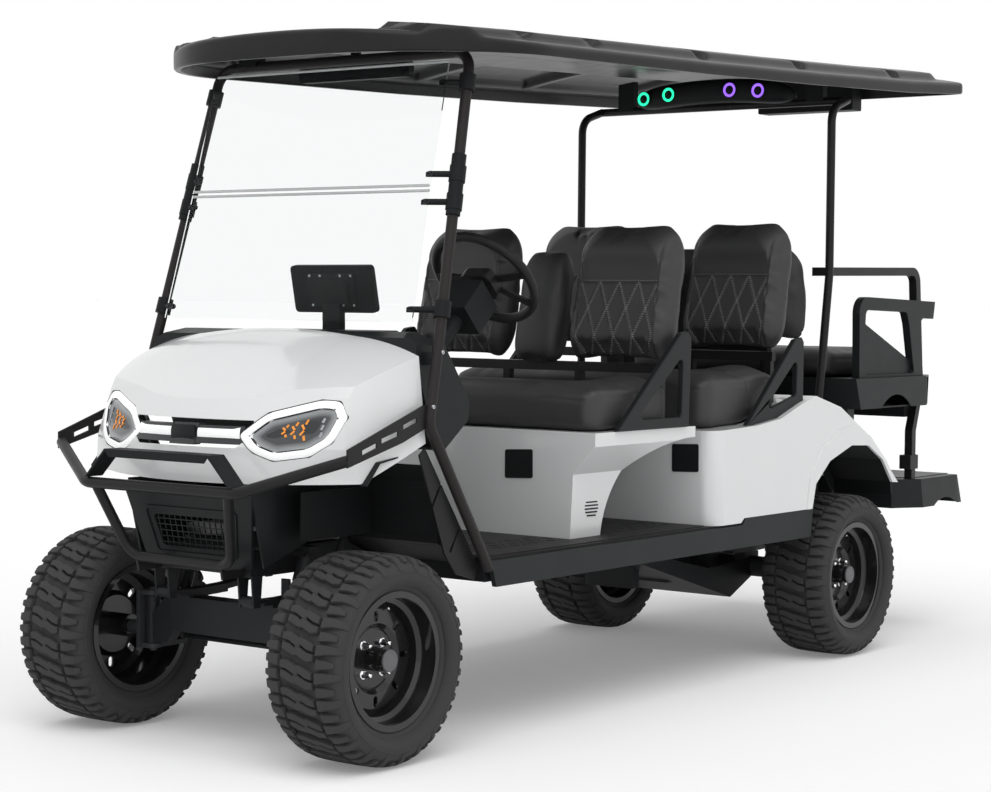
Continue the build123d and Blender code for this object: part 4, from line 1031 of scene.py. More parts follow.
@dataclass
class Bench:
    """One seat cushion: crowned top, rolled front edge and raised outer hips.

    Attributes:
        name: the piece's name.
        node: the node that it stands for.
        body: the body that carries it.
        half: half of its width.
        front: y of its front.
        rear: y of its rear.
        top: height of its top at the front and rear.
        underside: (y, height) pairs of its underside.
        hip: height of the raised outer hips.
        hip_y: y of the hips' middle.
        swell: farthest that the filling pushes it out.
        voxel: size of its mesh's cells.
    """

    name: str
    node: str
    body: str
    half: float
    front: float
    rear: float
    top: Pair
    underside: tuple[Pair, ...]
    hip: float = 0.0
    hip_y: float = 0.0
    swell: float = 16.0
    voxel: float = 13.0

    def under(self, y: float) -> float:
        """Return the height of the underside at a place along the cushion."""
        return float(np.interp(y, *zip(*self.underside)))

    def over(self, x: float, y: float) -> float:
        """Return the height of the top at a place on the cushion."""
        share = (y - self.front) / (self.rear - self.front)
        z = self.top[0] + (self.top[1] - self.top[0]) * share
        z += 6.0 * (1 - (x / self.half) ** 2)
        z -= 26.0 * (1 - smoothstep(0.0, 0.12, share)) ** 2
        if self.hip:
            reach = ((abs(x) - self.half + 120) / 105) ** 2 + ((y - self.hip_y) / 150) ** 2
            z += self.hip * math.exp(-reach * 1.1)
        return z

    def start_form(self) -> Piece:
        """Return the cushion before filling."""
        build = MeshBuilder()
        inset = 8.0
        nx, ny = 44, 20
        upper, lower = [], []
        for j in range(ny + 1):
            y = self.front + inset + (self.rear - self.front - 2 * inset) * j / ny
            near = min(y - self.front, self.rear - y)
            pull = 52 * (1 - min(1.0, near / 60)) ** 2.2
            half = self.half - inset - pull
            across = [-half + 2 * half * i / nx for i in range(nx + 1)]
            upper.append(build.add((x, y, self.over(x, y) - inset) for x in across))
            lower.append(build.add((x, y, self.under(y) + 3.0) for x in across))
        build.grid(upper)
        build.grid([list(reversed(row)) for row in lower])
        build.grid([upper[0], lower[0]])
        build.grid([lower[-1], upper[-1]])
        for end, pair in ((0, (lower, upper)), (-1, (upper, lower))):
            build.grid([[row[end] for row in rows] for rows in pair])
        return build.build(self.name, [])

    def press(self, spot: Vector) -> float:
        """Return the depth of the seams at a place."""
        depth = 0.0
        top = self.over(spot.x, spot.y)
        edge = min(abs(spot.y - self.front), abs(spot.y - self.rear), abs(self.half - abs(spot.x)))
        if edge < 26:
            depth += groove(spot.z - (top - 32), 2.6, 3.5)
        if self.hip and spot.z > self.under(spot.y) + 60:
            ring = math.hypot(abs(spot.x) - self.half + 112, (spot.y - self.hip_y) / 1.25)
            depth += groove(ring - 128, 3.0, 5.0)
        return depth

    def build(self) -> None:
        """Build the settled cushion."""
        pad = self.start_form()
        low = min(z for _, z in self.underside)
        high = max(self.over(x, y) for x in (0.0, self.half - 120) for y in
                   (self.front + 60, self.hip_y or self.rear - 40, self.rear - 40)) + 4
        settle_pad(pad, self.voxel, self.swell, (-self.half - 4, self.front - 6, low),
                   (self.half + 4, self.rear + 6, high))
        finish_pad(pad, self.press, self.body, [self.node])


class Upholstery:
    """All the padded pieces of the cart."""

    NEXT_ROW = Matrix.Translation((0.0, 0.700, 0.030))
    MIRROR = Matrix.Scale(-1.0, 4, (1.0, 0.0, 0.0))

    @staticmethod
    def _copy(piece: Piece, name: str, move: Matrix) -> Piece:
        """Copy a piece to another place on the chassis.

        Args:
            piece: the piece to copy.
            name: the copy's name.
            move: where it goes.

        Returns:
            The placed copy.
        """
        mesh = piece.data.copy()
        mesh.transform(move)
        if move.is_negative:
            mesh.flip_normals()
        return place(link_object(name, mesh), "chassis", "seat_vinyl")

    def backs(self) -> None:
        """Build one wide and one narrow back, and copy them to every place."""
        wide, thread = SeatBack("front_back_left", 100, 560, 1545).build()
        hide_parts("seat_backs")
        right = self._copy(wide, "front_back_right", self.MIRROR)
        narrow, _ = SeatBack("front_back_middle", -95, 95, 1443, quilted=False).build()
        for piece, side in ((wide, "left"), (right, "right"), (narrow, "middle")):
            self._copy(piece, "middle_back_" + side, self.NEXT_ROW)
        right_thread = self._copy(thread, "front_back_right_stitches", self.MIRROR)
        for piece, side in ((thread, "left"), (right_thread, "right")):
            self._copy(piece, f"middle_back_{side}_stitches", self.NEXT_ROW)

    def benches(self) -> None:
        """Build the three seat cushions."""
        Bench("front_bench", "front_seat_cushion", "chassis", 560, 990, 1480, (1012, 1000),
              ((990, 896), (1008, 875), (1480, 874)), 26, 1380).build()
        Bench("middle_bench", "middle_seat_cushion", "chassis", 560, 1650, 2168, (1030, 1026),
              ((1650, 862), (1665, 856), (1900, 864), (2060, 882), (2168, 917)), 26, 2060).build()
        Bench("rear_bench", "rear_seat_cushion", "rear_seat", 468, 2642, 3150, (1100, 1100),
              ((2642, 1034), (2656, 1006), (3150, 1006))).build()

    def build(self) -> None:
        """Build every padded piece."""
        self.backs()
        self.benches()
        RearBack().build()


@dataclass
class RearBack:
    """Back pad of the rear-facing seat: one wide pad with rounded shoulders.

    Attributes:
        half: half of its width.
        low: height of its bottom.
        high: height of its top.
        voxel: size of its mesh's cells.
        channel: distance between its sewn channels.
    """

    half: float = 470.0
    low: float = 1130.0
    high: float = 1500.0
    voxel: float = 12.0
    channel: float = 78.0

    HALF_WIDTHS = ((0, 0.93), (0.1, 0.98), (0.5, 1), (0.8, 0.98), (0.93, 0.92), (1, 0.82))

    def build(self) -> None:
        """Build the settled pad."""
        build = MeshBuilder()
        rings = []
        inset, steps, layers = 8.0, 40, 18
        for k in range(layers + 1):
            share = k / layers
            z = self.low + inset + share * (self.high - self.low - 2 * inset)
            front = 2450 - share * 20 + inset
            rear = 2580 - share * 40 - inset
            half = (self.half - inset) * float(np.interp(share, *zip(*self.HALF_WIDTHS)))
            edge = 1 - 0.45 * abs(2 * share - 1) ** 6
            centre = (front + rear) / 2
            ring = []
            for side in (-1, 1):
                for i in range(steps):
                    t = -side * (1 - 2 * i / steps)
                    depth = (rear - front) / 2 * (1 - abs(t) ** 8) ** 0.5 * edge
                    ring.append((t * half, centre + side * depth, z))
            rings.append(ring)
        build.ring_loft(rings)
        pad = build.build("rear_facing_back", [])
        settle_pad(pad, self.voxel, 16.0, (-self.half - 4, 2428, self.low - 3),
                   (self.half + 4, 2584, self.high + 6))
        finish_pad(pad, self.press, "chassis", ["rear_seat_back"])

    def press(self, spot: Vector) -> float:
        """Return the depth of the pad's channels and border seam."""
        depth = 0.0
        if spot.y > 2515:
            border = min(self.half - 46 - abs(spot.x), self.high - 46 - spot.z, spot.z - self.low - 40)
            depth += groove(border, 4.0, 4.5)
            if border > 0:
                half = self.channel / 2
                depth += groove((spot.x + half) % self.channel - half, 2.5, 4.5)
        return depth


# ---- tyres and wheel hardware
@dataclass
class Tyre:
    """Off-road tyre: turned carcass with interlocking tread blocks and wrapped shoulder lugs.

    Attributes:
        radius: rolling radius.
        pitches: repeats of the tread round the tyre.
        depth: depth of the grooves.
        lug_depth: depth of the grooves between the shoulder lugs.
        sides: sides of the turned carcass.
    """

    radius: float = 292.0
    pitches: int = 24
    depth: float = 14.0
    lug_depth: float = 12.0
    sides: int = 96

    OUTLINE = ((0.0, 292.0), (40.0, 291.8), (80.0, 290.6), (98.0, 288.4), (111.0, 283.6), (121.0, 276.0),
               (128.0, 265.0), (131.5, 252.0), (132.5, 238.0))
    CARCASS = ((-100, 179), (-101, 196), (-107, 201), (-110, 207), (-116, 208), (-124, 216), (-130.5, 228),
               (-131.5, 240), (-129.5, 251), (-124.5, 262), (-117, 269), (-107, 274), (-94, 276.5),
               (-50, 277.5))

    def spot(self, w: float, s: float, down: float) -> Vector:
        """Return a point of the tread.

        Args:
            w: distance across the tread from the middle, along its outline.
            s: distance round the tyre.
            down: depth below the outline.

        Returns:
            The point, for a tyre turned about the X axis through the origin.
        """
        left = abs(w)
        for (x0, r0), (x1, r1) in zip(self.OUTLINE, self.OUTLINE[1:]):
            run = math.hypot(x1 - x0, r1 - r0)
            if left <= run or x1 == self.OUTLINE[-1][0]:
                share = left / run
                tx, tr = (x1 - x0) / run, (r1 - r0) / run
                x = x0 + (x1 - x0) * share + tr * down
                r = r0 + (r1 - r0) * share - tx * down
                break
            left -= run
        if w < 0:
            x = -x
        angle = s / self.radius
        return Vector((x, -r * math.cos(angle), r * math.sin(angle)))

    def block(self, build: MeshBuilder, rows: Sequence[Triple], start: float,
              depth: float) -> None:
        """Add one tread block.

        Args:
            build: collects the mesh.
            rows: (distance across, low edge, high edge) of each row, low and high round the tyre.
            start: where the pitch starts round the tyre.
            depth: depth of its foot.
        """
        steps = 3
        n = len(rows)
        side = 1 if rows[-1][0] > rows[0][0] else -1
        ends = {rows[0][0]: -side, rows[-1][0]: side}

        def loop(grow: float, down: float) -> list[Vector]:
            """Return the block's outline at one depth, grown outward."""
            points = [(w + ends.get(w, 0) * grow, low - grow) for w, low, _ in rows]
            w, low, high = rows[-1]
            points += [(w + side * grow, low + (high - low) * j / steps) for j in range(1, steps)]
            points += [(w + ends.get(w, 0) * grow, high + grow) for w, _, high in reversed(rows)]
            w, low, high = rows[0]
            points += [(w - side * grow, low + (high - low) * j / steps) for j in range(steps - 1, 0, -1)]
            return [self.spot(w, start + s, down) for w, s in points]

        foot, wall, rim = (build.add(loop(g, d)) for g, d in ((1.6, depth), (0.0, 1.4), (-1.2, 0.0)))
        build.grid([foot, wall, rim], wrap_row=True)
        inner = [[None] * (steps + 1) for _ in range(n)]
        total = len(rim)
        for i in range(n):
            inner[i][0] = rim[i]
            inner[i][steps] = rim[n + steps - 1 + (n - 1 - i)]
        for j in range(1, steps):
            inner[n - 1][j] = rim[n - 1 + j]
            inner[0][j] = rim[total - j]
        for i in range(1, n - 1):
            w, low, high = rows[i]
            made = build.add(self.spot(w, start + low + 1.2 + (high - low - 2.4) * j / steps, 0.0)
                             for j in range(1, steps))
            for j, index in enumerate(made, 1):
                inner[i][j] = index
        build.grid(inner)

    def tread(self, build: MeshBuilder) -> None:
        """Add every tread block."""
        pitch = 2 * math.pi * self.radius / self.pitches
        p = pitch / 65.5
        upper = [(-55, 11 * p, 26 * p), (-34, 3 * p, 23 * p), (-8, -4 * p, 13 * p), (4, -1 * p, 9 * p)]
        lower = [(-57, 33 * p, 48 * p), (-34, 30 * p, 50 * p), (-8, 20 * p, 41 * p), (8, 16 * p, 35 * p)]
        tip = [(12, -2 * p, 12 * p), (26, -8 * p, 8 * p), (36, -8 * p, 4 * p)]
        long_lug = [(65, 1 * p, 27 * p), (84, 4 * p, 28 * p), (101, 7 * p, 28 * p), (116, 8 * p, 27 * p),
                    (132, 9 * p, 26 * p), (152, 10 * p, 24 * p)]
        short_lug = [(69, 36 * p, 58 * p), (86, 37 * p, 58 * p), (102, 39 * p, 57 * p), (116, 40 * p, 55 * p),
                     (126, 41 * p, 53 * p)]
        for k in range(self.pitches):
            start = k * pitch
            for shape in (upper, lower, tip):
                self.block(build, shape, start, self.depth)
                self.block(build, [(-w, -high, -low) for w, low, high in shape], start + 0.55 * pitch,
                           self.depth)
            for shape in (long_lug, short_lug):
                self.block(build, shape, start, self.lug_depth)
                self.block(build, [(-w, low, high) for w, low, high in shape], start + 0.5 * pitch,
                           self.lug_depth)

    def carcass(self, build: MeshBuilder) -> None:
        """Add the turned body, open towards the rim."""
        outer = [*self.CARCASS, *((-x, r) for x, r in reversed(self.CARCASS))]
        inner = [(88, 184), (118, 232), (112, 262), (-112, 262), (-118, 232), (-88, 184)]
        build.lathe(outer + inner, steps=self.sides, closed=True)
        for side in (-1, 1):
            for radius, x in ((213, 121.0), (246, 131.0)):
                ring = [(x - 0.5, radius - 2.2), (x + 1.3, radius), (x - 0.5, radius + 2.2), (x - 3, radius)]
                build.lathe([(side * a, r) for a, r in ring], steps=self.sides, closed=True)

    def build(self) -> bpy.types.Mesh:
        """Return the tyre's mesh, centred on its own axis."""
        build = MeshBuilder()
        self.carcass(build)
        self.tread(build)
        return centred_mesh(build, "tyre_pattern", [Finishes.RUBBER.material()], 32.0)


@dataclass
class WheelHardware:
    """Lug nuts, hub cap, seal ring and valve of one wheel; +x is the outer side.

    Attributes:
        nut_circle: radius of the circle of nuts.
        nut_face: how far out the nuts sit.
        cap_x: how far out the hub cap sits.
    """

    nut_circle: float = 57.0
    nut_face: float = 22.0
    cap_x: float = 84.0

    def build(self) -> bpy.types.Mesh:
        """Return the mesh, centred on the wheel's axis."""
        build = MeshBuilder()
        for k in range(4):
            angle = math.radians(45 + 90 * k)
            centre = (self.nut_face, self.nut_circle * math.cos(angle), self.nut_circle * math.sin(angle))
            for profile, sides in (([(-2, 13.5), (2, 13.5), (3, 12.5), (3.2, 11.6)], 20),
                                   ([(3, 10.4), (20, 10.4), (22, 9.2)], 6),
                                   ([(21.5, 8.6), (26, 7.6), (29, 5.0), (30, 0.0)], 16)):
                build.lathe(profile, centre, steps=sides)
        build.lathe([(-3, 31.2), (1, 31.2), (3.0, 29.5), (3.6, 24), (2.4, 22.5), (2.6, 14), (3.2, 0.0)],
                    (self.cap_x, 0, 0), steps=40, mark=1)
        build.lathe([(20.5, 86), (23.6, 85), (24.2, 82), (21.5, 80)], steps=64, closed=True, mark=2)
        build.lathe([(24, 5.0), (34, 5.0), (36, 4.0), (48, 3.6), (49, 4.6), (56, 4.6), (57, 0.0)],
                    (0, 28, 125), (0.95, 0.05, 0.25), 14)
        for r, x in ((176, 58.5), (168, 50.0)):
            seat = [(-1, r), (1.2, r - 1.5), (1.2, r - 4), (-1, r - 5)]
            build.lathe(seat, (x, 0, 0), steps=72, closed=True, mark=2)
        finishes = (Finishes.CHROME, Finishes.HUB_GREY, Finishes.WHEEL)
        return centred_mesh(build, "hardware_pattern", [finish.material() for finish in finishes], 30.0)


class Wheels:
    """The four wheels' tyres and hardware."""

    PLACES = (("front_left", 494.0, 0.0, 1), ("front_right", -494.0, 0.0, -1),
              ("rear_left", 516.0, WHEELBASE, 1), ("rear_right", -516.0, WHEELBASE, -1))

    def build(self) -> None:
        """Put a tyre and its hardware on every wheel body."""
        tyre, hardware = Tyre().build(), WheelHardware().build()
        for index, (name, x, y, side) in enumerate(self.PLACES):
            move = Matrix.Translation(at(x, y, AXLE_Z))
            turn = Matrix.Rotation(0.0 if side > 0 else math.pi, 4, "Z")
            spin = Matrix.Rotation(0.37 + 0.9 * index, 4, "X")
            for label, mesh, slot, nodes in (("tyre_tread_" + name, tyre, "tyre_rubber", ["tyre_" + name]),
                                             ("wheel_hardware_" + name, hardware, "wheel_black", [])):
                piece = link_object(label, mesh.copy())
                piece.data.transform(move @ turn @ (spin if nodes else Matrix.Identity(4)))
                place(piece, name + "_wheel", slot, nodes)


# ---- nose: lamps and light bar
class FaceFinder:
    """Finds the surface of nodes along a direction."""

    def __init__(self, *names: str) -> None:
        """Collect the nodes' meshes."""
        points: list[Vector] = []
        faces: list[tuple[int, ...]] = []
        for name in names:
            mesh = frame["nodes"][name].data
            start = len(points)
            points.extend(v.co for v in mesh.vertices)
            faces.extend(tuple(start + i for i in p.vertices) for p in mesh.polygons)
        self.tree = BVHTree.FromPolygons(points, faces)

    def cast(self, start: Point, heading: Point) -> Vector | None:
        """Return the first place met from a start, in millimetres, or None."""
        hit = self.tree.ray_cast(at(*start), Vector(heading))[0]
        return None if hit is None else back(hit)

    def front(self, x: float, z: float) -> float | None:
        """Return y of the first surface seen from the front at a place, in millimetres."""
        hit = self.cast((x, -700, z), (0.0, 1.0, 0.0))
        return None if hit is None else hit.y

    def top(self, x: float, y: float, start: float) -> float | None:
        """Return z of the first surface seen from above at a place, in millimetres."""
        hit = self.cast((x, y, start), (0.0, 0.0, -1.0))
        return None if hit is None else hit.z

    def side(self, y: float, z: float, sign: int) -> float | None:
        """Return x of the first surface met from one side, in millimetres."""
        hit = self.cast((sign * 900, y, z), (-sign, 0.0, 0.0))
        return None if hit is None else hit.x


def inset_loop(points: Outline, distance: float) -> list[Pair]:
    """Move a closed outline's edges inward.

    Args:
        points: corners, anticlockwise or clockwise.
        distance: how far inward.

    Returns:
        The new corners.
    """
    pairs = list(zip(points, [*points[1:], points[0]]))
    side = 1.0 if sum(a[0] * b[1] - b[0] * a[1] for a, b in pairs) > 0 else -1.0
    edges = []
    for a, b in pairs:
        d = Vector((b[0] - a[0], b[1] - a[1])).normalized()
        normal = Vector((-d.y, d.x)) * side * distance
        edges.append((Vector(a) + normal, d))
    made = []
    for (p, d), (q, e) in zip([edges[-1], *edges[:-1]], edges):
        cross = d.x * e.y - d.y * e.x
        t = ((q.x - p.x) * e.y - (q.y - p.y) * e.x) / cross
        made.append((p.x + d.x * t, p.y + d.y * t))
    return made


def round_loop(points: Outline, radius: float, step: float = 6.0) -> list[Pair]:
    """Round a closed outline's corners and give it even steps.

    Args:
        points: corners.
        radius: largest corner radius.
        step: longest straight step.

    Returns:
        The rounded outline.
    """
    made: list[Vector] = []
    n = len(points)
    for i in range(n):
        a, b, c = (Vector(points[(i + k) % n]) for k in (-1, 0, 1))
        u, v = (a - b), (c - b)
        cut = min(radius, u.length * 0.45, v.length * 0.45)
        p, q = b + u.normalized() * cut, b + v.normalized() * cut
        for k in range(7):
            t = k / 6
            made.append(p * (1 - t) ** 2 + b * 2 * t * (1 - t) + q * t ** 2)
    out: list[Pair] = []
    for a, b in zip(made, [*made[1:], made[0]]):
        parts = max(1, int((b - a).length / step))
        out.extend(tuple(a.lerp(b, k / parts)) for k in range(parts))
    return out


def raised_patch(build: MeshBuilder, corners: Outline, profile: Outline,
                 spot: Callable[[float, float, float], Point], radius: float = 8.0) -> None:
    """Add one raised patch with rounded corners, laid on a face."""
    build.ring_loft([[spot(a, b, up) for a, b in round_loop(inset_loop(corners, inset), radius, 400.0)]
                     for inset, up in profile], cap_start=False)


@dataclass
class Nose:
    """Headlamps with a ring light pipe, a recessed lens with chevrons, and the light bar between them.

    Attributes:
        pipe_width: width of the lamps' light pipes.
        bar_half: half height of the light bar.
        bar_z: height of the light bar's middle.
        ring_steps: points round a light pipe.
        lens_steps: points round a lens.
    """

    LAMP = ((186, 900), (262, 965), (400, 1003), (452, 1000), (478, 955), (455, 885), (400, 845), (300, 830),
            (240, 852))
    PIPE_SECTION = ((0.0, -1.5), (0.06, 1.0), (0.3, 3.0), (0.6, 3.4), (0.88, 2.0), (1.0, -2.0))
    BAR_SECTION = ((-1.0, -1.0), (-0.85, 1.6), (-0.4, 3.2), (0.0, 3.6), (0.4, 3.2), (0.85, 1.6), (1.0, -1.0))
    pipe_width: float = 23.5
    bar_half: float = 17.0
    bar_z: float = 899.0
    ring_steps: int = 160
    lens_steps: int = 120

    def __post_init__(self) -> None:
        """Find the lamp node's face."""
        self.face = FaceFinder("headlamps")

    def depth(self, x: float, z: float, default: float) -> float:
        """Return y of the lamp node's face at a place."""
        found = self.face.front(x, z)
        return default if found is None else found

    def _drape(self, side: int, inset: float, radius: float, count: int, proud: float, start: float,
               squeeze: float = 1.0) -> list[Triple]:
        """Lay an inset outline of the lamp on its face.

        Args:
            side: 1 for the left lamp, -1 for the right one.
            inset: how far inside the lamp's outline.
            radius: corner radius.
            count: points round it.
            proud: how far it stands in front of the face.
            start: y to begin with; a place that misses the face keeps the last y.
            squeeze: draws the places where the face is sought towards the middle.

        Returns:
            The points.
        """
        outline = round_loop(inset_loop([(side * x, z) for x, z in self.LAMP], inset), radius)
        row = []
        for x, z in self._resample(outline, count):
            start = self.depth(x * squeeze, z, start)
            row.append((x, start - proud, z))
        return row

    def ring(self, side: int, name: str) -> None:
        """Build one lamp's light pipe."""
        build = MeshBuilder()
        rows = [self._drape(side, 1.8 + share * self.pipe_width, 16.0, self.ring_steps, proud, -170.0, 0.999)
                for share, proud in self.PIPE_SECTION]
        outer = rows[0]
        for k in range(1, len(rows) - 1):
            rows[k] = [(x, min(y, edge[1] + 10), z) for (x, y, z), edge in zip(rows[k], outer)]
        build.grid([build.add(r) for r in rows], wrap_row=True)
        put(build, "light_pipe_" + name, Finishes.LIGHT_PIPE, "lamp_black", 70.0)

    @staticmethod
    def _resample(loop: list[Pair], count: int) -> list[Pair]:
        """Return the outline with evenly spaced points, starting at its lowest-x point."""
        first = min(range(len(loop)), key=lambda i: (abs(loop[i][0]), loop[i][1]))
        loop = loop[first:] + loop[:first]
        closed = [Vector(p) for p in loop] + [Vector(loop[0])]
        lengths = [0.0]
        for a, b in zip(closed, closed[1:]):
            lengths.append(lengths[-1] + (b - a).length)
        made = []
        j = 0
        for k in range(count):
            target = lengths[-1] * k / count
            while lengths[j + 1] < target:
                j += 1
            span = lengths[j + 1] - lengths[j]
            share = (target - lengths[j]) / span if span else 0.0
            made.append(tuple(closed[j].lerp(closed[j + 1], share)))
        return made

    def lens(self, side: int, name: str) -> None:
        """Build one lamp's recessed lens face, paler towards its edge, and its amber chevrons."""
        build = MeshBuilder()
        steps = self.lens_steps
        rows = [self._drape(side, 26.5 + share * 20.0, 12.0, steps, 1.0 - 0.5 * share, -160.0)
                for share in (0.0, 0.25, 0.5, 0.75, 1.0)]
        indices = [build.add(r) for r in rows]
        build.grid(indices, wrap_row=True)
        x, z = (sum(p[k] for p in rows[-1]) / steps for k in (0, 2))
        middle = build.add([(x, self.depth(x, z, -160.0) - 0.5, z)])[0]
        for i in range(steps):
            build.face((indices[-1][i], indices[-1][(i + 1) % steps], middle))
        piece = build.build("lamp_lens_" + name, [smoked_lens()], 60.0)
        shade = piece.data.attributes.new("edge_shade", "FLOAT", "POINT")
        values = [max(0.0, 1.0 - (i // steps) / (len(rows) - 1)) for i in range(len(piece.data.vertices))]
        shade.data.foreach_set("value", values)
        place(piece, "chassis", "lamp_black")
        amber = MeshBuilder()
        for k, (x0, tall) in enumerate(((318, 17), (343, 23), (368, 29))):
            z0 = 915 + k * 2
            for up in (-1, 1):
                for part in range(2):
                    a = (x0 + 2 + part * 2, z0 + up * (1.5 + part * tall * 0.48))
                    b = (x0 - 6 + part * 4 + 10 * part, z0 + up * (tall * 0.48 + part * tall * 0.5))
                    self._slug(amber, side, a, b, 5.0)
        put(amber, "lamp_chevrons_" + name, Finishes.AMBER, "lamp_black", 60.0)
        reflector = MeshBuilder()
        for z0, z1 in ((900, 914), (920, 934), (940, 952)):
            self._slug(reflector, side, (414, z0), (418, z1), 7.0)
        put(reflector, "lamp_reflectors_" + name, Finishes.CHROME_DARK, "lamp_black", 60.0)

    def _slug(self, build: MeshBuilder, side: int, a: Pair, b: Pair,
              width: float) -> None:
        """Add one small raised bar on the lens between two places."""
        u = Vector((b[0] - a[0], b[1] - a[1]))
        across = Vector((-u.y, u.x)).normalized() * width / 2
        rows = []
        for down, grow in ((0.2, 1.0), (-1.6, 1.0), (-2.4, 0.6)):
            row = []
            for point, sign in ((a, -1), (b, -1), (b, 1), (a, 1)):
                x = side * (point[0] + across.x * sign * grow)
                z = point[1] + across.y * sign * grow
                row.append((x, self.depth(x, z, -160.0) + down - 0.6, z))
            rows.append(row)
        build.ring_loft(rows, cap_start=False)

    def bar(self, side: int, name: str) -> None:
        """Build one half of the light bar, from the badge plate to the lamp."""
        build = MeshBuilder()
        rows = []
        for k in range(15):
            x = 52 + 144 * k / 14
            y = self.depth(side * x, self.bar_z, -220.0)
            tall = self.bar_half * (1.0 + 0.28 * smoothstep(168, 196, x))
            rows.append([(side * x, y - proud, self.bar_z + up * tall) for up, proud in self.BAR_SECTION])
        build.grid([build.add(r) for r in rows])
        put(build, "light_bar_" + name, Finishes.LIGHT_PIPE, "lamp_black", 70.0)

    def plate(self) -> None:
        """Build the bare badge plate in the middle of the bar."""
        build = MeshBuilder()
        y = self.depth(0.0, self.bar_z, -224.0)
        rings = []
        for grow, down in ((0.0, 1.0), (0.0, -4.0), (-2.0, -5.2)):
            half, tall = 47 + grow, 25 + grow
            rings.append([(-half, y + down, self.bar_z - tall), (half, y + down, self.bar_z - tall),
                          (half - 3, y + down, self.bar_z + tall), (-half + 3, y + down, self.bar_z + tall)])
        build.ring_loft(rings, cap_start=False)
        put(build, "bare_badge_plate", Finishes.TRIM, "trim_black")

    def build(self) -> None:
        """Build both lamps, the bar and the plate."""
        for side, name in SIDES:
            self.ring(side, name)
            self.lens(side, name)
            self.bar(side, name)
        self.plate()


@cache
def smoked_lens() -> Material:
    """Return the smoked lens material, which pales towards its lit edge, building it once."""
    material, tree, shader = new_material("smoked_lens")
    set_inputs(shader, {"Roughness": 0.12, "Coat Weight": 0.5})
    edge = tree.nodes.new("ShaderNodeAttribute")
    edge.attribute_name = "edge_shade"
    ramp = tree.nodes.new("ShaderNodeValToRGB")
    ramp.color_ramp.elements[0].color = (0.045, 0.052, 0.055, 1.0)
    ramp.color_ramp.elements[1].color = (0.42, 0.44, 0.45, 1.0)
    tree.links.new(edge.outputs["Fac"], ramp.inputs["Fac"])
    tree.links.new(ramp.outputs["Color"], shader.inputs["Base Color"])
    return material


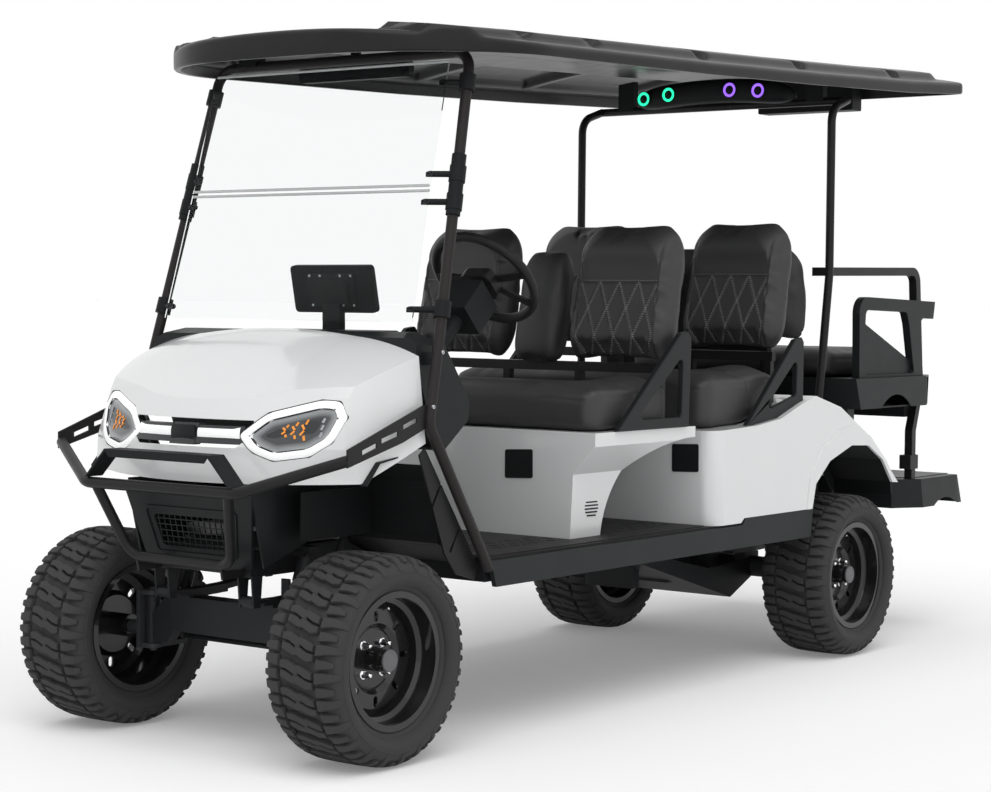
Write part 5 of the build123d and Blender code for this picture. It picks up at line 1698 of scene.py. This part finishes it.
# ---- roof
@dataclass
class Roof:
    """Crowned roof shell with deep rounded corners, a rolled lip and raised blocks along both sides.

    Attributes:
        half: half width.
        front: foremost edge at the middle.
        rear: rearmost edge.
        bow: how far the front edge sweeps back towards the sides.
        front_corner: plan radius of the front corners.
        rear_corner: plan radius of the rear corners.
        lip: radius of the rolled edge.
        lift: height of the raised blocks.
        wall: how far the hollow underneath starts from the edge.
    """

    half: float = 664.0
    front: float = 98.0
    rear: float = 3352.0
    bow: float = 60.0
    front_corner: float = 450.0
    rear_corner: float = 70.0
    lip: float = 17.0
    lift: float = 24.0
    wall: float = 26.0

    SECTIONS = ((95, 1968, 2000, 2046), (600, 1982, 2018, 2080), (1500, 2004, 2044, 2118),
                (2200, 2027, 2070, 2144), (2900, 2056, 2100, 2172), (3352, 2086, 2128, 2190))
    BLOCKS = ((230, 565), (605, 912), (950, 1525), (1565, 2165), (2205, 2862), (2905, 3236))

    def levels(self, y: float) -> Triple:
        """Return the underside, edge and crown heights at a station."""
        stations, *heights = zip(*self.SECTIONS)
        under, edge, crown = (float(np.interp(y, stations, row)) for row in heights)
        return under, edge, crown

    def ends(self, x: float, inset: float) -> Pair:
        """Return the front and rear edge at a place across, moved in by `inset`."""
        half = self.half - inset
        a = min(abs(x), half)

        def turn(corner: float) -> float:
            """Return how far a round corner draws the edge in."""
            over = max(0.0, a - (half - corner))
            return corner - math.sqrt(max(0.0, corner * corner - over * over))

        front = self.bow * (a / half) ** 2 + turn(self.front_corner - inset * 0.4) + (self.front + inset)
        return front, self.rear - inset - turn(self.rear_corner - inset * 0.4)

    def skin(self, x: float, y: float) -> float:
        """Return the top surface's height before its lip is rolled."""
        _, edge, crown = self.levels(y)
        base = edge + (crown - edge) * (1 - (abs(x) / self.half) ** 2.2)
        across = smoothstep(322, 346, abs(x)) * (1 - smoothstep(566, 594, abs(x)))
        along = sum(smoothstep(a, a + 20, y) * (1 - smoothstep(b - 20, b, y)) for a, b in self.BLOCKS)
        rib = groove(abs(x) - 120, 2.5, 9.0) * smoothstep(300, 420, y) * (1 - smoothstep(3100, 3200, y))
        return base + self.lift * across * min(1.0, along) + rib

    def columns(self) -> list[float]:
        """Return the places across, right to left."""
        half = [0, 40, 80, 106, 113, 120, 127, 134, 160, 200, 240, 280, 316, 322, 328, 334, 340, 346, 380,
                420, 454, 480, 505, 530, 552, 566, 573, 580, 587, 594, 606, 618, 628, 637, 644, 650, 655, 659,
                661.6, 663.3, 664]
        return [-v for v in reversed(half[1:])] + half

    def stations(self) -> list[float]:
        """Return the places along, front to rear."""
        near = [0, 1, 3, 6, 10, 15, 21, 28, 38, 52, 70, 92]
        marks = {self.front + v for v in near} | {self.rear - v for v in near}
        for a, b in self.BLOCKS:
            for k in range(5):
                marks |= {a + 5.0 * k, b - 5.0 * k}
        marks |= {215.0 + 40.0 * k for k in range(77)}
        made: list[float] = []
        for value in sorted(marks):
            if not made or value - made[-1] > 2.6 or value < self.front + 12 or value > self.rear - 12:
                made.append(value)
        return made

    def layer(self, build: MeshBuilder, inset: float, drop: float, rolled: bool) -> list[list[int]]:
        """Add one surface of the shell.

        Args:
            build: collects the mesh.
            inset: how far its outline lies inside the roof's.
            drop: how far it lies below the top.
            rolled: whether its edge is rolled down.

        Returns:
            The grid of vertex numbers, front to rear.
        """
        grid = []
        for station in self.stations():
            row = []
            for x in self.columns():
                x = x * (self.half - inset) / self.half
                y0, y1 = self.ends(x, inset)
                y = station
                y += (y0 - self.front) * (1 - smoothstep(self.front, 1500, station))
                y += (y1 - self.rear) * smoothstep(2500, self.rear, station)
                z = self.skin(x, y) - drop
                if rolled:
                    slope = min(1.0, 1.0 / math.hypot(1.0, (self.ends(abs(x) + 1, 0)[0] - y0)))
                    gap = min(self.half - abs(x), (y - y0) * slope, y1 - y)
                    if gap < self.lip:
                        z -= self.lip - math.sqrt(max(0.0, self.lip ** 2 - (self.lip - gap) ** 2))
                row.append((x, y, z))
            grid.append(build.add(row))
        return grid

    @staticmethod
    def rim(grid: list[list[int]]) -> list[int]:
        """Return the vertex numbers round a grid's edge."""
        return [*grid[0], *(row[-1] for row in grid[1:]), *reversed(grid[-1][:-1]),
                *(row[0] for row in reversed(grid[1:-1]))]

    def build(self) -> None:
        """Build the shell in place of the plain one."""
        build = MeshBuilder()
        top = self.layer(build, 0.0, 0.0, True)
        build.grid(top)
        inner = self.layer(build, self.wall, 11.0, False)
        build.grid([list(reversed(row)) for row in inner])
        edge, hollow = self.rim(top), self.rim(inner)
        points = build.vertices
        rings = [edge]
        for inset, share, extra in ((0.0, 0.55, 0.0), (0.6, 1.0, 5.0), (4.0, 1.0, 0.6), (9.0, 1.0, 0.0),
                                    (17.0, 1.0, 1.0), (22.0, 0.72, 6.0)):
            row = []
            for a, b in zip(edge, hollow):
                (x0, y0, z0), (x1, y1, _) = points[a], points[b]
                t = inset / self.wall
                x, y = x0 + (x1 - x0) * t, y0 + (y1 - y0) * t
                under = self.levels(y)[0] + 2.0
                row.append((x, y, z0 + (under - z0) * share + extra))
            rings.append(build.add(row))
        rings.append(hollow)
        build.grid(rings, wrap_row=True)
        put(build, "roof_shell", Finishes.ROOF, "roof_black", 38.0, ["roof"])


# ---- small outside details
@dataclass
class BoxTrim:
    """Square covers on the fronts of the seat boxes and the vent slots in their sides.

    Attributes:
        cover: how far the covers stand out.
        slots: vent slots on each side.
        slot_pitch: distance between the slots.
        slot_z: height of the lowest slot.
        pod_front: y of the front box's front, where no ray meets it.
        body_front: y of the rear box's front, where no ray meets it.
        pod_side: distance of the front box's side, where no ray meets it.
    """

    cover: float = 3.0
    slots: int = 6
    slot_pitch: float = 10.6
    slot_z: float = 604.0
    pod_front: float = 985.0
    body_front: float = 1630.0
    pod_side: float = 484.0

    def patch(self, label: str, corners: Outline, proud: float, spot: Callable[[float, float, float], Point],
              radius: float = 8.0) -> None:
        """Make one raised patch a piece of its own.

        Args:
            label: piece name.
            corners: outline in the face's own two directions.
            proud: height above the face.
            spot: turns a place on the face and a height above it into a point.
            radius: corner radius.
        """
        build = MeshBuilder()
        profile = ((0.0, -1.0), (0.0, proud * 0.6), (proud * 0.4, proud), (proud * 0.8, proud))
        raised_patch(build, corners, profile, spot, radius)
        put(build, label, Finishes.TRIM_DARK, "trim_black")

    def build(self) -> None:
        """Build the left-hand covers and both sides' slots."""
        pod, body = FaceFinder("front_seat_pod"), FaceFinder("rear_body")
        for label, face, corners in (
                ("seat_box_cover", pod.front(278, 765) or self.pod_front,
                 [(224, 716), (333, 721), (332, 812), (224, 807)]),
                ("rear_box_cover", body.front(488, 760) or self.body_front,
                 [(436, 711), (540, 715), (539, 808), (435, 804)])):
            self.patch(label, corners, self.cover, lambda a, b, up: (a, face - up, b))
        middle = (self.slots - 1) / 2
        for sign, side in SIDES:
            face = pod.side(1090, 636, sign) or sign * self.pod_side
            for k in range(self.slots):
                z = self.slot_z + self.slot_pitch * k
                shrink = 13 * (abs(k - middle) / middle) ** 2
                front, rear = 1056 + shrink, 1130 - shrink
                corners = [(front, z), (rear, z - 1), (rear, z + 4), (front, z + 5)]
                self.patch(f"vent_slot_{side}_{k}", corners, 0.8,
                           lambda a, b, up: (face + sign * up, a, b), 2.0)


@dataclass
class FloorMat:
    """Raised diamond ribs on the floor.

    Attributes:
        half: half width of the ribbed floor.
        front: y of its front.
        rear: y of its rear.
        pitch: distance between ribs.
        level: height of the open floor.
        reach: half length of a rib along each direction.
        thick: half width of a rib.
    """

    half: float = 500.0
    front: float = 470.0
    rear: float = 1600.0
    pitch: float = 46.0
    level: float = 540.0
    reach: float = 13.0
    thick: float = 3.2

    def build(self) -> None:
        """Lay the ribs where the floor is open."""
        finder = FaceFinder("floor_pan")
        build = MeshBuilder()
        columns = int(self.half / self.pitch)
        for i in range(int((self.rear - self.front) / self.pitch)):
            for j in range(-columns, columns + 1):
                x, y = j * self.pitch, self.front + (i + 0.5) * self.pitch
                if abs(x) < 330 and y > 640:
                    continue
                top = finder.top(x, y, self.level + 100)
                if top is None or abs(top - self.level) > 6:
                    continue
                dx, dy = self.reach, self.reach * (1 if (i + j) % 2 else -1)
                nx, ny = -dy / 18.4 * self.thick, dx / 18.4 * self.thick
                build.ring_loft([[(x + (a * dx + b * nx) * grow, y + (a * dy + b * ny) * grow, top + up)
                                  for a, b in SQUARE]
                                 for grow, up in ((1.0, -0.5), (0.75, 1.6), (0.4, 2.0))], cap_start=False)
        if build.vertices:
            put(build, "floor_mat_ribs", Finishes.MAT, "floor_rubber", 30.0)


@dataclass
class Screen:
    """Pale strips on the windshield's fold line and top edge.

    Attributes:
        radius: radius of a strip.
        edge: how far its middle lies inside the pane's edge.
        inset: how far its ends stop short of the pane's sides.
    """

    radius: float = 4.2
    edge: float = 5.0
    inset: float = 4.0

    def build(self) -> None:
        """Build the strips along the panes' edges."""
        build = MeshBuilder()
        for node, pick in (("windshield_upper", min), ("windshield_lower", max), ("windshield_upper", max)):
            points = [v.co for v in frame["nodes"][node].data.vertices]
            level = pick(p.z for p in points)
            near = [p for p in points if abs(p.z - level) < 0.012]
            y = (sum(p.y for p in near) / len(near) - FRONT_AXLE_Y) / MM
            half = max(abs(p.x) for p in near) / MM - self.inset
            z = level / MM + (self.edge if pick is min else -self.edge)
            build.tube([(-half, y, z), (half, y, z)], self.radius, 10)
        put(build, "fold_strips", Finishes.STRIP, "clear_pane", 50.0)


@dataclass
class TabletBack:
    """Housing and screws on the back of the display.

    Attributes:
        below_top: how far the housing's middle lies below the display's top.
        blocks: (x, z, half width, half height) and thickness of each raised block.
        screw_x: places of the screws across.
        screw_z: places of the screws up and down.
        face: y of the display's back, where no ray meets it.
    """

    below_top: float = 78.0
    blocks: tuple[tuple[tuple[float, float, float, float], float], ...] = (
        ((0, 0, 92, 52), 5.0), ((10, -6, 58, 36), 16.0), ((62, 18, 12, 20), 12.0))
    screw_x: tuple[float, ...] = (-82, -40, 40, 82)
    screw_z: tuple[float, ...] = (-44, 44)
    face: float = 420.0

    def build(self) -> None:
        """Build the housing on the side that faces the windshield."""
        finder = FaceFinder("display_tablet")
        low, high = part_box("display_tablet")
        x, z = (low.x + high.x) / 2 / MM, high.z / MM - self.below_top
        middle = finder.front(x, z) or self.face
        build, screws = MeshBuilder(), MeshBuilder()
        for (dx, dz, half, tall), proud in self.blocks:
            corners = [(x + dx + a * half, z + dz + b * tall) for a, b in SQUARE]
            profile = ((0.0, -2.0), (0.0, proud - 2.0), (2.0, proud), (5.0, proud))
            raised_patch(build, corners, profile,
                         lambda a, b, up: (a, (finder.front(a, b) or middle) - up, b))
        for sx in self.screw_x:
            for sz in self.screw_z:
                face = finder.front(x + sx, z + sz)
                if face is not None:
                    screws.lathe([(-1, 3.6), (1.2, 3.6), (2.2, 2.6), (2.2, 0)], (x + sx, face - 5.0, z + sz),
                                 (0, -1, 0), 12)
        put(build, "tablet_housing", Finishes.TRIM, "trim_black", 30.0)
        put(screws, "tablet_screws", Finishes.ZINC, "trim_black")


@dataclass
class SpeakerRings:
    """Speaker pod under the roof with its lit rings.

    Attributes:
        places: places of the rings across.
        half: half length of the pod.
        middle_y: y of its middle.
        thick: half of its depth.
        tall: half of its height.
    """

    places: tuple[float, ...] = (-292.0, -180.0, 90.0, 212.0)
    half: float = 344.0
    middle_y: float = 2580.0
    thick: float = 52.0
    tall: float = 45.0

    def level(self, x: float) -> float:
        """Return the pod's middle height at a place across."""
        return 2069.0 - 24.0 * (x / 330.0) ** 2

    def pod(self) -> None:
        """Build the rounded pod that carries the rings."""
        build = MeshBuilder()
        rings = []
        for k in range(33):
            t = math.sin((-1 + k / 16) * math.pi / 2)
            x = self.half * t
            swell = max(0.02, 1 - abs(t) ** 7) ** 0.5
            ring = []
            for j in range(28):
                angle = 2 * math.pi * j / 28
                c, s = math.cos(angle), math.sin(angle)
                ring.append((x, self.middle_y + self.thick * swell * math.copysign(abs(c) ** 0.62, c),
                             self.level(x) + self.tall * swell * math.copysign(abs(s) ** 0.75, s)))
            rings.append(ring)
        build.ring_loft(rings)
        put(build, "speaker_pod", Finishes.TRIM_DARK, "trim_black", 40.0, ["speaker_bar"])

    def build(self) -> None:
        """Build the pod, two green rings and two purple ones, with a cone in each."""
        self.pod()
        face = self.middle_y - self.thick + 1.5
        toward = (0, -1, 0)
        for k, x in enumerate(self.places):
            spot = (x, face, self.level(x))
            light, dark = MeshBuilder(), MeshBuilder()
            light.lathe([(-3, 26), (2.5, 26), (4.5, 24), (4.5, 20), (2, 17), (-3, 17)], spot, toward, 48,
                        closed=True)
            dark.lathe([(-2, 17), (1, 16.5), (0, 10), (2.5, 6), (3.5, 0)], spot, toward, 40)
            dark.lathe([(-2, 30), (2.5, 30), (4, 28.5), (4, 27.5), (2, 26.4), (-2, 26.4)], spot, toward, 48,
                       closed=True)
            glow = Finishes.GLOW_PURPLE if k > 1 else Finishes.GLOW_GREEN
            put(light, f"speaker_light_{k}", glow, "trim_black", 50.0)
            put(dark, f"speaker_cone_{k}", Finishes.TRIM_DARK, "trim_black", 50.0)


@dataclass
class Bolts:
    """Screw heads down the legs of the hoop.

    Attributes:
        size: radius of a head.
        count: places tried on each leg.
    """

    size: float = 6.0
    count: int = 8

    def build(self) -> None:
        """Build the heads where rays from the side meet the hoop."""
        hoop = FaceFinder("front_hoop", "hoop_and_roof_clamps")
        build = MeshBuilder()
        s = self.size
        profile = [(-1, s), (s * 0.45, s), (s * 0.62, s * 0.8), (s * 0.62, s * 0.45), (s * 0.2, s * 0.42),
                   (s * 0.2, 0.0)]
        for sign, _ in SIDES:
            for y, z in self.line():
                x = hoop.side(y, z, sign)
                if x is not None:
                    build.lathe(profile, (x, y, z), (sign, 0, 0), 14)
        if build.vertices:
            put(build, "hoop_screws", Finishes.ZINC, "tube_black")

    def line(self) -> list[Pair]:
        """Return (y, z) places down the hoop's legs, from its foot to its top."""
        low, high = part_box("front_hoop")
        points = [v.co for v in frame["nodes"]["front_hoop"].data.vertices if abs(v.co.x) > high.x * 0.9]
        made = []
        for k in range(self.count):
            z = low.z + (high.z - low.z) * (0.12 + 0.1 * k)
            near = [p.y for p in points if abs(p.z - z) < 0.05]
            if near:
                made.append((((min(near) + max(near)) / 2 - FRONT_AXLE_Y) / MM, z / MM))
        return made


def main() -> None:
    """Build the studio, dress the nodes and build each sub-assembly."""
    logging.basicConfig(level=logging.INFO, format="%(name)s: %(message)s")
    Studio().build()
    NodeDresser(frame["nodes"]).dress_all()
    for assembly in (Upholstery(), Wheels(), Nose(), Roof(), BoxTrim(), FloorMat(), Screen(), SpeakerRings(),
                     TabletBack(), Bolts()):
        assembly.build()
        log.info("%s built", type(assembly).__name__)


if __name__ == "__main__":
    main()
